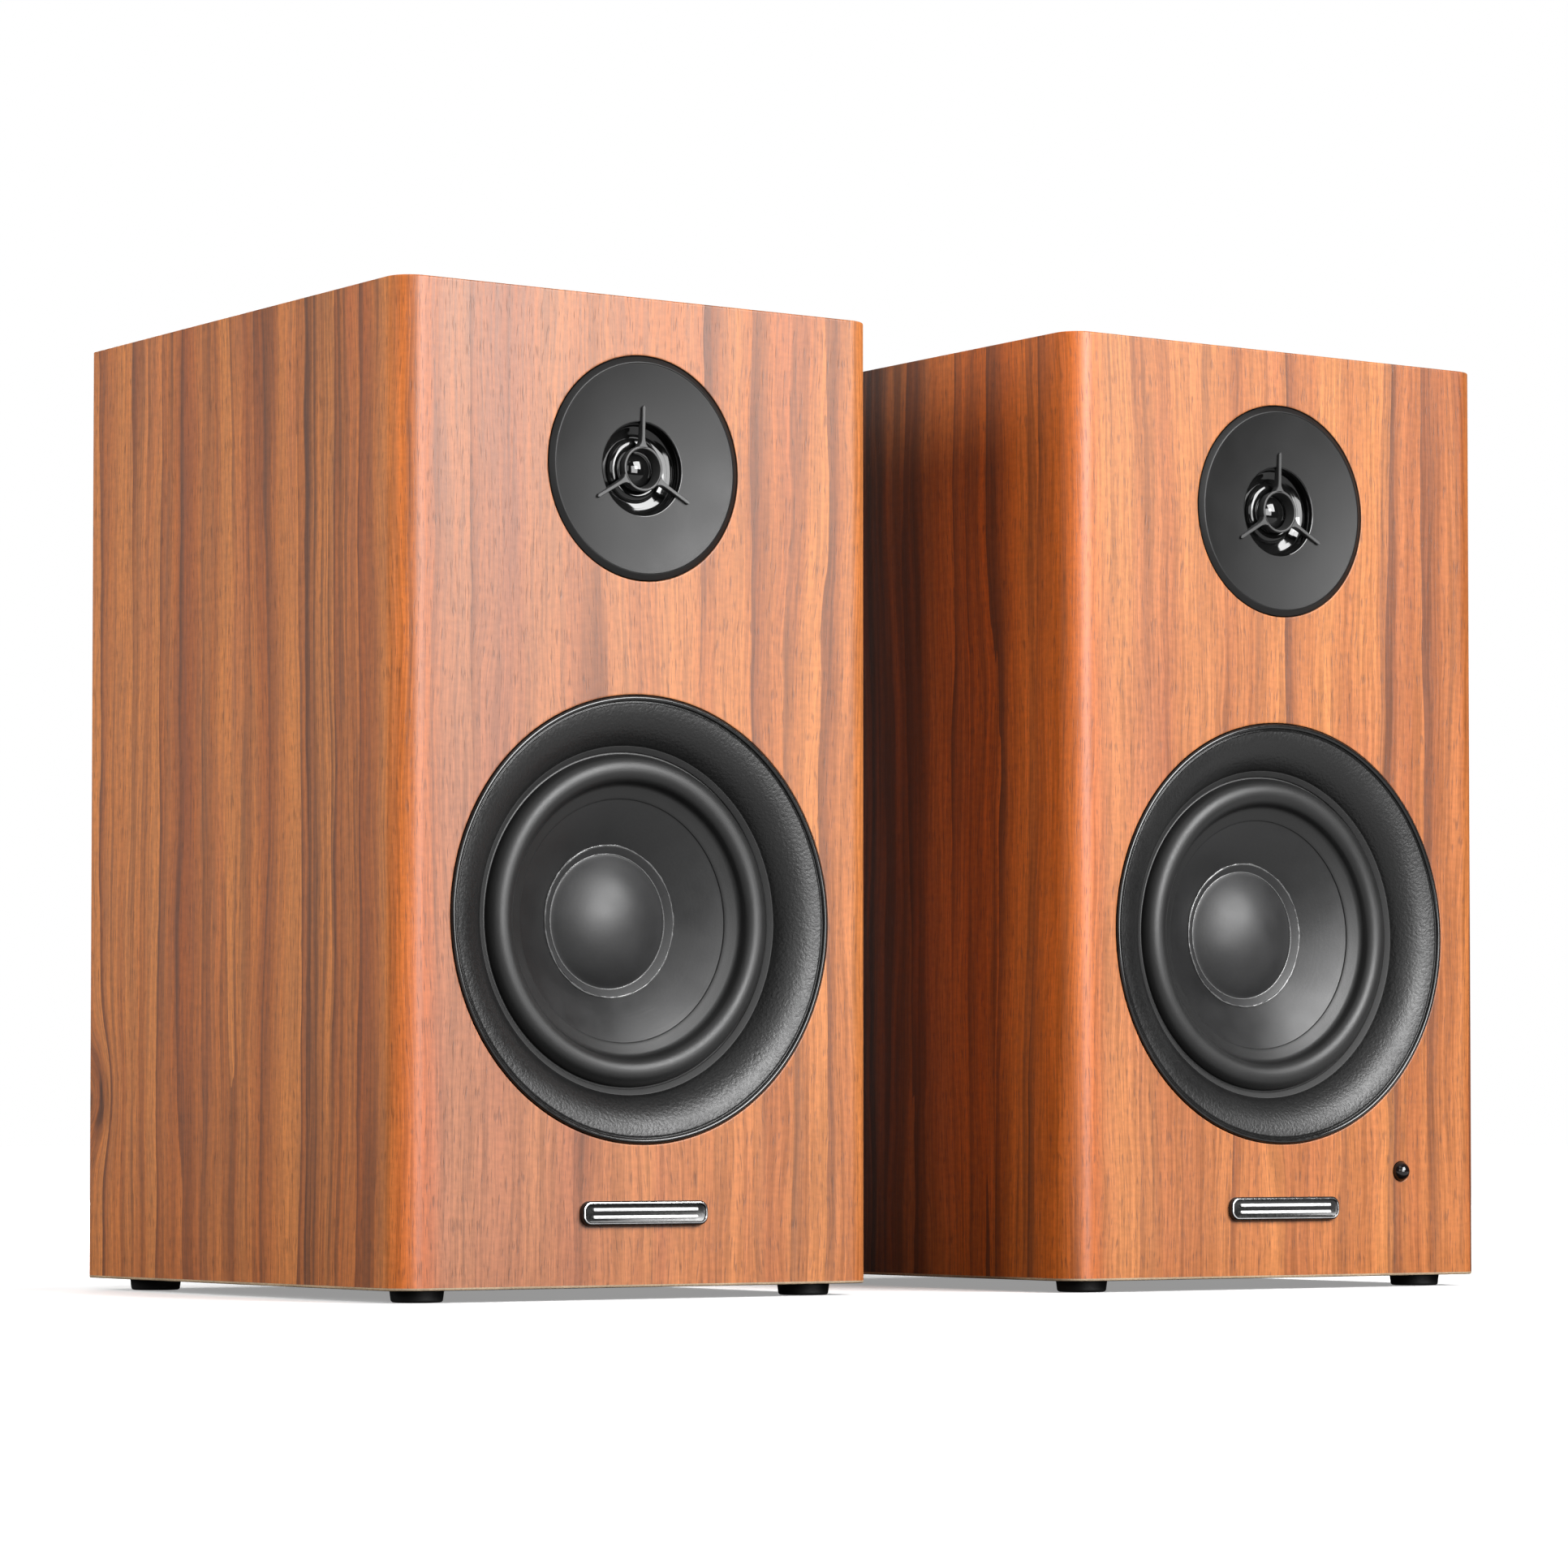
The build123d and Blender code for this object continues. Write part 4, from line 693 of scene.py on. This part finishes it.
def feet(speaker):
    """Four turned rubber feet with a recessed middle."""
    low, high = speaker.local("feet")
    shape = Shape(speaker)
    sole = [(0, 1.2), (3.0, 1.2), (3.6, 0.3), (4.2, 0), (7.4, 0)]
    outline = rounded(sole, 0.4) + arc((7.4, 0), (8.1, 0.3), (8.4, FOOT_EDGE), 6)
    outline += [(FOOT_R - 0.02, 3.6), (FOOT_R - FOOT_BRIM, 4.0), (0, 4.0)]
    angles = [math.tau * i / SMALL_STEPS for i in range(SMALL_STEPS)]
    for x in (low.x + FOOT_R, high.x - FOOT_R):
        for y in (low.y + FOOT_R, high.y - FOOT_R):
            rings = []
            for r, z in outline:
                ring = [(x + r * math.cos(t), y + r * math.sin(t), z) for t in angles]
                rings.append(shape.loop(ring if r > 0 else [(x, y, z)]))
            for one, two in zip(rings, rings[1:]):
                shape.band(one, two)
    shape.done("rubber_feet", "speaker", "feet", [FINISHES["foot_rubber"]])


# ---- Woofer -------------------------------------------------------------------------------------

LIP, FUNNEL, SEAT = range(3)


def trim_ring(speaker):
    """The black ring round the woofer: a glossy lip, a fine groove and a pebbled funnel."""
    lip = arc((72.8, 0.1), (71.95, -0.8), (71.15, -0.25), 12)
    groove = rounded([lip[-1], (71.05, 0.22), (70.75, 0.22), (70.6, -0.02), (70.2, 0.02)], 0.1, 3)
    funnel = arc((70.2, 0.02), (63.6, 2.15), (57.4, 7.9), 26)
    edge = rounded([funnel[-1], (57.15, 8.35), (56.95, 8.6)], 0.15, 3)
    seat = rounded([edge[-1], (56.8, 8.62), (55.05, 9.75), (54.9, 10.2)], 0.15, 3)
    back = [(54.9, 10.2), (58.6, 10.2), *arc((58.6, 10.2), (62.6, 6.1), (66.3, 3.0), 10), (72.8, 3.0)]
    shape = Shape(speaker)
    outer = rounded([(72.8, 3.0), (72.8, 1.5), (72.8, 0.1)], 0.1, 2)
    sections = [(LIP, outer + lip + groove), (FUNNEL, funnel + edge), (SEAT, seat), (FUNNEL, back)]
    shape.turn(sections, speaker.woofer, 256)
    plastics = [TRIM_LIP, FINISHES["trim_plastic"], TRIM_SEAT]
    shape.done("trim_ring", "speaker", "woofer_trim_ring", plastics)


ROLL_R, ROLL_CREST, ROLL_UNDER = 49.4, 5.4, 6.2
CREST_FLAT = 0.12
OUTER_FOOT, INNER_FOOT = (54.25, 10.2), (44.55, 9.65)


def surround(speaker):
    """The rubber roll in two halves that meet on its crest: the outer rides on the speaker, the inner
    on no body.
    """
    outer = Shape(speaker)
    top = arc((ROLL_R + CREST_FLAT, ROLL_CREST), (52.9, 6.85), OUTER_FOOT, 16)
    foot = rounded([top[-2], (54.3, 10.2), (55.3, 10.2)], 0.4, 4)
    under = arc((53.4, 11.0), (52.35, 7.5), (ROLL_R + CREST_FLAT, ROLL_UNDER), 12)
    line = [(ROLL_R, ROLL_CREST), *top[:-1], *foot, (59.0, 10.2), (59.0, 11.0), *under]
    line += [(ROLL_R, ROLL_UNDER), (ROLL_R, ROLL_CREST)]
    outer.turn([(0, line)], speaker.woofer, 256)
    rubber = [FINISHES["surround_rubber"]]
    outer.done("surround_outer", "speaker", "woofer_surround", rubber)

    inner = Shape(speaker)
    top = arc((ROLL_R - CREST_FLAT, ROLL_CREST), (45.9, 6.75), INNER_FOOT, 16)
    lip = rounded([top[-6], (44.5, 9.85), (39.8, 12.05), (39.72, 12.4)], 1.3, 9)
    under = arc((45.45, 10.2), (46.5, 7.5), (ROLL_R - CREST_FLAT, ROLL_UNDER), 12)
    line = [(ROLL_R, ROLL_CREST), *top[:-6], *lip, (44.3, 10.32), *under]
    line += [(ROLL_R, ROLL_UNDER), (ROLL_R, ROLL_CREST)]
    inner.turn([(0, line)], speaker.woofer, 256)
    piece = inner.done("surround_inner", None, "woofer_surround", rubber)
    x, z = speaker.woofer
    speaker.place((x, ROLL_CREST + 0.2, z))
    speaker.place((x, 9.6, z))
    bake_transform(piece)


CONE_EDGE, CONE_MIDDLE, CAP_SEAT = (44.3, 10.4), (33.0, 16.05), (24.7, 20.9)
CAP_R, CAP_FOOT, CAP_APEX, CONE_T = 22.0, 22.1, 14.3, 0.7


def cone(speaker):
    """The coated paper cone, down to the voice coil."""
    face = arc(CONE_EDGE, CONE_MIDDLE, CAP_SEAT, 20)
    neck = [(22.0, 22.7), (12.9, 28.8)]
    line = face + neck
    line += [(r, y + CONE_T) for r, y in reversed(line)]
    shape = Shape(speaker)
    shape.turn([(0, [*line, face[0]])], speaker.woofer)
    shape.done("paper_cone", "woofer_mover", "woofer_cone", [speaker.cone_finish])


def dust_cap(speaker):
    """The domed cap, its glue flange, and the two beads of glue that hold it."""
    dome = arc((-CAP_R, CAP_FOOT), (0, CAP_APEX), (CAP_R, CAP_FOOT), 48)[24:]
    flange = rounded([dome[-2], (21.9, 21.9), (22.35, 21.85), (24.7, 20.25), (24.75, 20.9)], 0.25, 3)
    under = arc((21.4, 22.7), (0, 14.9), (-21.4, 22.7), 40)[:21]
    shape = Shape(speaker)
    line = [(0, CAP_APEX), *dome[1:-1], *flange, (22.0, 22.7), *under[:-1], (0, 14.9)]
    shape.turn([(0, line)], speaker.woofer)
    glue_bead(shape, speaker.woofer, 24.95, 20.55, 0.30, 0.5, 0)
    glue_bead(shape, speaker.woofer, 22.2, 21.85, 0.2, 0.15, 1)
    shape.done("domed_cap", "woofer_mover", "dust_cap", [speaker.cap_finish, GLUE])


def glue_bead(shape, spot, radius, depth, size, lumps, number):
    """A thin bead laid by hand: its width and its line wander as it goes round."""
    steps, sides = 320, 8
    rings = []
    for i in range(steps):
        t = math.tau * i / steps
        wander = math.sin(5 * t + number) + math.sin(13 * t + 2) * 0.6
        wander += math.sin(31 * t + 4 * number) * 0.4
        swell = math.sin(9 * t + 1.3) * 0.5 + math.sin(23 * t) * 0.35 + math.sin(47 * t + 3) * 0.3
        thickness = size * (1 + lumps * swell)
        r = radius + 0.12 * lumps * wander
        ring = []
        for k in range(sides):
            a = math.tau * k / sides
            out, rise = r + thickness * math.cos(a), depth + thickness * math.sin(a)
            ring.append((spot[0] + out * math.cos(t), rise, spot[1] + out * math.sin(t)))
        rings.append(shape.loop(ring))
    for i in range(steps):
        shape.band(rings[i], rings[(i + 1) % steps], 1)


# ---- Tweeter ------------------------------------------------------------------------------------

GUARD_OUT, GUARD_IN, GUARD_FRONT, GUARD_BACK = 7.5, 6.4, 0.2, 4.2
LEG_END, LEG_HALF, LEG_FLARE, LEG_FADE = 20.6, 0.62, 1.25, 0.9
DISH = arc((34.07, -0.8), (24.0, 0.45), (15.6, 1.05), 24)
GUARD_SHARP = math.radians(38)
PLATE, GLOSS, GUARD = range(3)


def dish_depth(radius):
    """The depth of the dish at a radius, read off its outline."""
    for (r1, y1), (r2, y2) in zip(DISH, DISH[1:]):
        if r2 <= radius <= r1:
            return y1 + (y2 - y1) * (r1 - radius) / (r1 - r2)
    return DISH[-1][1]


def guard_leg(shape, spot, angle):
    """A blade from the guard ring to the dish, flared where it leaves the ring."""
    steps = 22
    loops = []
    ca, sa = math.cos(angle), math.sin(angle)
    for i in range(steps + 1):
        r = GUARD_IN + 0.45 + (LEG_END - GUARD_IN - 0.45) * i / steps
        half = LEG_HALF + LEG_FLARE * math.exp(-max(0.0, r - GUARD_OUT + 0.2) / LEG_FADE)
        left = LEG_END - r
        if left < 0.6:
            half *= math.sqrt(max(0.03, 1 - (1 - left / 0.6) ** 2))
        bend = max(0.0, (r - GUARD_OUT) / (LEG_END - GUARD_OUT))
        front = GUARD_FRONT - 0.4 * bend
        back = 2.7 - 0.9 * bend if r < 15.4 else dish_depth(r) + 0.35
        ease = min(0.2, half * 0.5)
        section = [(-half, back), (-half, front + ease), (-half + ease, front), (half - ease, front),
                   (half, front + ease), (half, back)]
        loops.append([(spot[0] + r * ca - s * sa, y, spot[1] + r * sa + s * ca) for s, y in section])
    shape.stack(loops, GUARD)


def waveguide(speaker):
    """The tweeter's dished plate, its glossy throat, and the ring and three legs that guard it."""
    rim = rounded([(36.57, 3.0), (36.57, 0.2), (34.75, -0.95), (34.45, -1.0)], 0.25, 4)
    crease = rounded([rim[-1], (34.3, -0.82), (34.07, -0.8), DISH[1]], 0.08, 3)
    edge = rounded([DISH[-2], (15.35, 1.05), (15.1, 1.5), (14.85, 2.2)], 0.4, 5)
    floor_arc = arc((13.6, 5.3), (12.4, 5.8), (10.9, 6.15), 12)
    bowl = rounded([edge[-1], (14.5, 4.85), floor_arc[0], floor_arc[-1]], 1.1, 10)[1:-1] + floor_arc[1:]
    back = [(10.9, 6.7), (13.6, 7.4), (17.5, 7.4), (17.5, 3.0), (36.57, 3.0)]
    shape = Shape(speaker)
    sections = [(PLATE, rim + crease + DISH[1:-1] + edge[:3]), (GLOSS, edge[3:] + bowl), (PLATE, back)]
    shape.turn(sections, speaker.tweeter, 256)
    outside = [(6.9, GUARD_BACK), (GUARD_OUT, 1.2), (GUARD_OUT - 0.1, GUARD_FRONT)]
    inside = [(GUARD_IN + 0.1, GUARD_FRONT), (GUARD_IN, 1.0), (5.9, GUARD_BACK)]
    ring = rounded(outside + inside, 0.3, 4)
    shape.turn([(GUARD, [*ring, ring[0]])], speaker.tweeter, 96)
    for hour in range(3):
        guard_leg(shape, speaker.tweeter, math.pi / 2 + math.tau * hour / 3)
    plastics = [FINISHES["waveguide_plastic"], FILM_EDGE, GUARD_PLASTIC]
    shape.done(
        "dished_plate", "speaker", "tweeter_waveguide", plastics, GUARD_SHARP
    )


def diaphragm(speaker):
    """The glossy dome and the half roll round it."""
    dome = arc((-5.7, 4.9), (0, 2.6), (5.7, 4.9), 40)[20:]
    groove = rounded([dome[-2], (5.85, 5.1), (6.35, 5.3), (6.9, 4.95)], 0.3, 4)
    roll = arc((6.9, 4.95), (8.6, 4.3), (10.9, 6.35), 14)
    back = [(11.6, 6.95), (11.6, 7.3), (6.3, 7.3), (6.3, 12.5), (5.7, 12.5), (5.7, 5.5), (0, 3.0)]
    shape = Shape(speaker)
    shape.turn([(0, [(0, 2.6), *dome[1:-1], *groove, *roll, *back])], speaker.tweeter)
    film = [FINISHES["tweeter_film"]]
    shape.done("tweeter_dome", "tweeter_mover", "tweeter_diaphragm", film)


# ---- Badge, lens, port --------------------------------------------------------------------------

TRAY, LINE, BAR = range(3)


def plate_loop(spot, width, height, radius, inset, depth):
    """A round-cornered loop facing the front, moved in by inset."""
    return [
        (spot[0] + x - inset * nx, depth, spot[1] + z - inset * nz)
        for x, z, nx, nz in rounded_rectangle(width, height, radius)
    ]


def badge(speaker):
    """A plain nameplate: a bright line round a dark tray with two raised bars and no lettering."""
    low, high = speaker.local("badge")
    spot = speaker.spot("badge")
    width, height, front = high.x - low.x, high.z - low.z, low.y
    shape = Shape(speaker)
    # (inset, depth, finish of the band that leads there)
    edge = [(0, 0, TRAY), (0, front + 0.6, TRAY), (0.12, front + 0.3, TRAY), (0.40, front + 0.08, TRAY)]
    line = [(0.55, front, LINE), (0.85, front, LINE), (1.0, front + 0.1, LINE)]
    tray = [(1.15, front + 0.45, TRAY), (1.35, front + 0.55, TRAY)]
    steps = edge + line + tray
    loops = [plate_loop(spot, width, height, 3.2, inset, depth) for inset, depth, _ in steps]
    rings = [shape.loop(points) for points in loops]
    for one, two, (_, _, finish) in zip(rings, rings[1:], steps[1:]):
        shape.band(one, two, finish)
    shape.face(rings[0])
    shape.face(rings[-1])
    profile = [(0, front + 0.6), (0, front + 0.2), (0.08, front + 0.06), (0.2, front + 0.02)]
    for rise in (1.2, -1.2):
        middle = (spot[0], spot[1] + rise)
        bar = [plate_loop(middle, width - 8.0, 1.1, 0.5, inset, depth) for inset, depth in profile]
        shape.stack(bar, BAR)
    plastics = [FINISHES["badge_plate"], CHROME, BAR_WHITE]
    shape.done("nameplate", "speaker", "badge", plastics)


def sensor_lens(speaker):
    """The glossy dome over the remote sensor."""
    low, high = speaker.local("sensor_lens")
    radius = (high.x - low.x) / 2
    dome = arc((-radius, 0), (0, low.y), (radius, 0), 32)[16:]
    shape = Shape(speaker)
    line = [(0, low.y), *dome[1:], (radius, high.y), (0, high.y)]
    shape.turn([(0, line)], speaker.spot("sensor_lens"), SMALL_STEPS)
    shape.done("sensor_dome", "speaker", "sensor_lens", [FINISHES["sensor_plastic"]])


def port(speaker):
    """The reflex port: a flared mouth on the back and a tube inside."""
    low, high = speaker.local("port_tube")
    face, end = high.y, low.y
    bore, wall, flange, flare, plate = 17.0, 2.5, 27.0, 5.0, 3.0
    bend = flare * 0.29
    mouth = arc((bore, face - flare), (bore + bend, face - bend), (bore + flare, face), 12)
    rim = rounded([(25.6, face), (flange, face - 0.4), (flange, face - plate)], 0.8, 4)
    line = [*mouth, *rim, (bore + wall, face - plate), (bore + wall, end + 1)]
    line += rounded([(bore + wall, end + 1), (bore + wall, end), (bore, end), (bore, end + 1)], 0.8, 3)
    shape = Shape(speaker)
    shape.turn([(0, [*line, mouth[0]])], speaker.spot("port_tube"))
    shape.done("flared_port", "speaker", "port_tube", [FINISHES["port_plastic"]])


# ---- Both speakers ------------------------------------------------------------------------------

SEEDS = {"left": 3.0, "right": 57.0}
# (place round the cabinet from the front's middle, height, size, push) of each cabinet's knot
KNOTS = {"left": (-296.0, 68.0, 13.0, -16.0), "right": (-248.0, 232.0, 17.0, 20.0)}
# (place, width, strength) of the streaks that stand out
STREAKS = {
    "left": [
        (-262, 9, 0.5), (-246, 5, 0.4), (-221, 12, 0.62), (-181, 7, 0.5), (-153, 14, 0.95),
        (-147, 3, 0.7), (-142, 3, 0.8), (-137, 4, 0.75), (-131, 3, 0.6), (-126, 2, 0.4),
        (44, 5, 0.3), (58, 8, 0.6), (74, 4, 0.35), (150, 12, 0.6), (210, 9, 0.6), (262, 7, 0.5),
    ],
    "right": [
        (-214, 9, 0.7), (-180, 6, 0.5), (-150, 8, 0.6), (-118, 10, 0.55), (-60, 6, 0.3),
        (47, 9, 0.55), (68, 5, 0.4), (140, 10, 0.6), (196, 12, 0.6), (250, 8, 0.5),
    ],
}
# dark heartwood on the right speaker's inner side, also a painted shade where the left cabinet shades
# it: (begins, full, strength)
HEART_AND_PAINTED_SHADE = {"left": None, "right": (-146.0, -214.0, 1.0)}
# stretches of the print tinted as painted light, a paler sheen tone and a warm bounce tone:
# (colour, begins, full, holds to, ends, strength)
PAINTED_LIGHT_TINTS = {
    "left": [(WOOD_PAINTED_SHEEN, -90, -76, -80, 52, 0.65), (WOOD_PAINTED_BOUNCE, -104, -92, -84, -74, 0.45)],
    "right": [(WOOD_PAINTED_SHEEN, -90, -76, -80, 52, 0.1), (WOOD_PAINTED_BOUNCE, -200, -140, -86, -76, 0.6)],
}

for side in ("left", "right"):
    speaker = Speaker(side)
    speaker.wood = walnut(
        speaker,
        f"{side}_walnut",
        SEEDS[side],
        knot=KNOTS[side],
        streaks=STREAKS[side],
        heart_and_shade=HEART_AND_PAINTED_SHADE[side],
        painted_light_tints=PAINTED_LIGHT_TINTS[side],
    )
    speaker.wood_top = walnut(speaker, f"{side}_walnut_top", SEEDS[side] + 30, across_top=True)
    centre = (speaker.woofer[0] + speaker.origin.x / MM, speaker.woofer[1])
    speaker.cone_finish = paper(f"{side}_cone_paper", 0.010, centre, 0.38)
    speaker.cap_finish = paper(f"{side}_cap_paper", 0.019, centre, 0.47)
    cabinet(speaker)
    eased_board(speaker, "top_panel", "top_board", speaker.wood_top)
    eased_board(speaker, "bottom_panel", "bottom_board", RAW_BOARD)
    feet(speaker)
    trim_ring(speaker)
    surround(speaker)
    cone(speaker)
    dust_cap(speaker)
    waveguide(speaker)
    diaphragm(speaker)
    badge(speaker)
    port(speaker)
    if side == "right":
        sensor_lens(speaker)

# the other CAD nodes keep their shape, with crisp edges eased, and take their slot's finish
for node in frame["nodes"].values():
    if node.hide_render:
        continue
    for place in node.material_slots:
        place.material = FINISHES[place.material.name]
    weld = node.modifiers.new("weld", "WELD")
    weld.merge_threshold = 0.01 * MM
    bevel = node.modifiers.new("eased edges", "BEVEL")
    bevel.width = 0.2 * MM
    bevel.segments = 2
    bevel.limit_method = "ANGLE"
    bevel.angle_limit = math.radians(40)
    bevel.harden_normals = True


# ---- Floor, light and camera --------------------------------------------------------------------


FLOOR_HALF = 30.0  # metres


def floor():
    """A white floor that glows, less near the object's box so that the floor round it is darker: a
    painted shadow.
    """
    f = Finish("floor", Roughness=0.9, Specular_IOR_Level=0.1)
    split = f.node("ShaderNodeSeparateXYZ", f.point()).outputs
    # how far a place on the floor is from the object's box
    low, high = Vector(cad_box[0]) / MM, Vector(cad_box[1]) / MM
    squares = []
    for axis in (0, 1):
        beyond = f.math("SUBTRACT", f.math("ABSOLUTE", split[axis]), (high[axis] - low[axis]) / 2)
        beyond = f.math("MAXIMUM", beyond, 0)
        squares.append(f.math("MULTIPLY", beyond, beyond))
    reach = f.math("SQRT", f.math("ADD", *squares))
    grain = f.noise(f.point(), 3.0, 3)
    level = f.vary(grain, 0.88, 0.90)
    f.use(Base_Color=f.scaled(level, level, level), Emission_Color=(1, 1, 1, 1))
    # painted shadow: the glow is weakest next to the object's box and full from 150 mm off
    f.use(Emission_Strength=f.spread(reach, 0, 150, 0.3, 1.0))
    corners = [(FLOOR_HALF * x, FLOOR_HALF * y, 0) for x, y in ((-1, -1), (1, -1), (1, 1), (-1, 1))]
    mesh = bpy.data.meshes.new("floor")
    mesh.from_pydata(corners, [], [(0, 1, 2, 3)])
    mesh.materials.append(f.material)
    piece = bpy.data.objects.new("floor", mesh)
    piece.visible_diffuse = False
    piece.visible_glossy = False
    bpy.context.scene.collection.objects.link(piece)


def softbox(name, place, target, width, height, power, lights=True, shines=True):
    """A rectangular light that faces a point. It may leave out either its light or its reflections."""
    data = bpy.data.lights.new(name, "AREA")
    data.shape = "RECTANGLE"
    data.size = width
    data.size_y = height
    data.energy = power
    lamp = bpy.data.objects.new(name, data)
    lamp.location = place
    lamp.rotation_euler = (Vector(target) - Vector(place)).to_track_quat("-Z", "Y").to_euler()
    lamp.visible_diffuse = lights
    lamp.visible_glossy = shines
    lamp.visible_camera = False
    bpy.context.scene.collection.objects.link(lamp)


def world(seen, dim):
    """A white background that lights the object only faintly."""
    made = bpy.data.worlds.new("studio")
    made.use_nodes = True
    nodes, links = made.node_tree.nodes, made.node_tree.links
    background = nodes["Background"]
    background.inputs["Color"].default_value = (1, 1, 1, 1)
    path = nodes.new("ShaderNodeLightPath")
    strength = nodes.new("ShaderNodeMapRange")
    strength.inputs["To Min"].default_value = dim
    strength.inputs["To Max"].default_value = seen
    links.new(path.outputs["Is Camera Ray"], strength.inputs["Value"])
    links.new(strength.outputs[0], background.inputs["Strength"])
    bpy.context.scene.world = made


def camera(place, pitch, yaw, lens, rise):
    data = bpy.data.cameras.new("camera")
    data.lens = lens
    data.sensor_width = 36
    data.shift_y = rise
    data.clip_end = 200
    eye = bpy.data.objects.new("camera", data)
    eye.location = place
    eye.rotation_euler = (math.radians(90 + pitch), 0, math.radians(yaw))
    bpy.context.scene.collection.objects.link(eye)
    bpy.context.scene.camera = eye


floor()
MIDDLE = (0, -0.05, 0.15)
softbox("key", (0.68, -1.93, 1.13), MIDDLE, 1.2, 1.2, 84)
softbox("fill", (-2.2, 0.1, 0.9), MIDDLE, 1.4, 1.4, 42, shines=False)
softbox("front fill", (-1.3, -1.5, 1.4), MIDDLE, 0.9, 0.9, 10, shines=False)
softbox("sheen", (0.1, -1.95, 0.45), MIDDLE, 1.0, 1.0, 33, lights=False)
softbox("high sheen", (-0.65, -1.2, 1.8), MIDDLE, 0.9, 0.9, 4, lights=False)
softbox("left sheen", (-1.15, -1.6, 0.6), MIDDLE, 0.8, 0.8, 5, lights=False)
softbox("side sheen", (-1.5, 1.9, 0.6), MIDDLE, 1.4, 1.2, 6, lights=False)
softbox("floor bounce", (0.1, -0.5, 0.01), (0.1, -0.5, 1.0), 1.6, 0.7, 3, lights=False)
softbox("overhead", (0, 0.1, 2.2), (0, 0, 0), 2.0, 2.0, 5)
softbox("rear", (0.9, 2.3, 1.0), MIDDLE, 1.4, 1.4, 32)
softbox("rear bounce", (0.3, 1.1, 0.01), (0.3, 1.1, 1.0), 1.6, 1.2, 5, lights=False)
world(1.0, 0.02)
camera((-1.07544, -1.54773, 0.05192), 2.12005, -34.6749, 123.061, 0.10)
bpy.context.scene.view_settings.view_transform = "Standard"
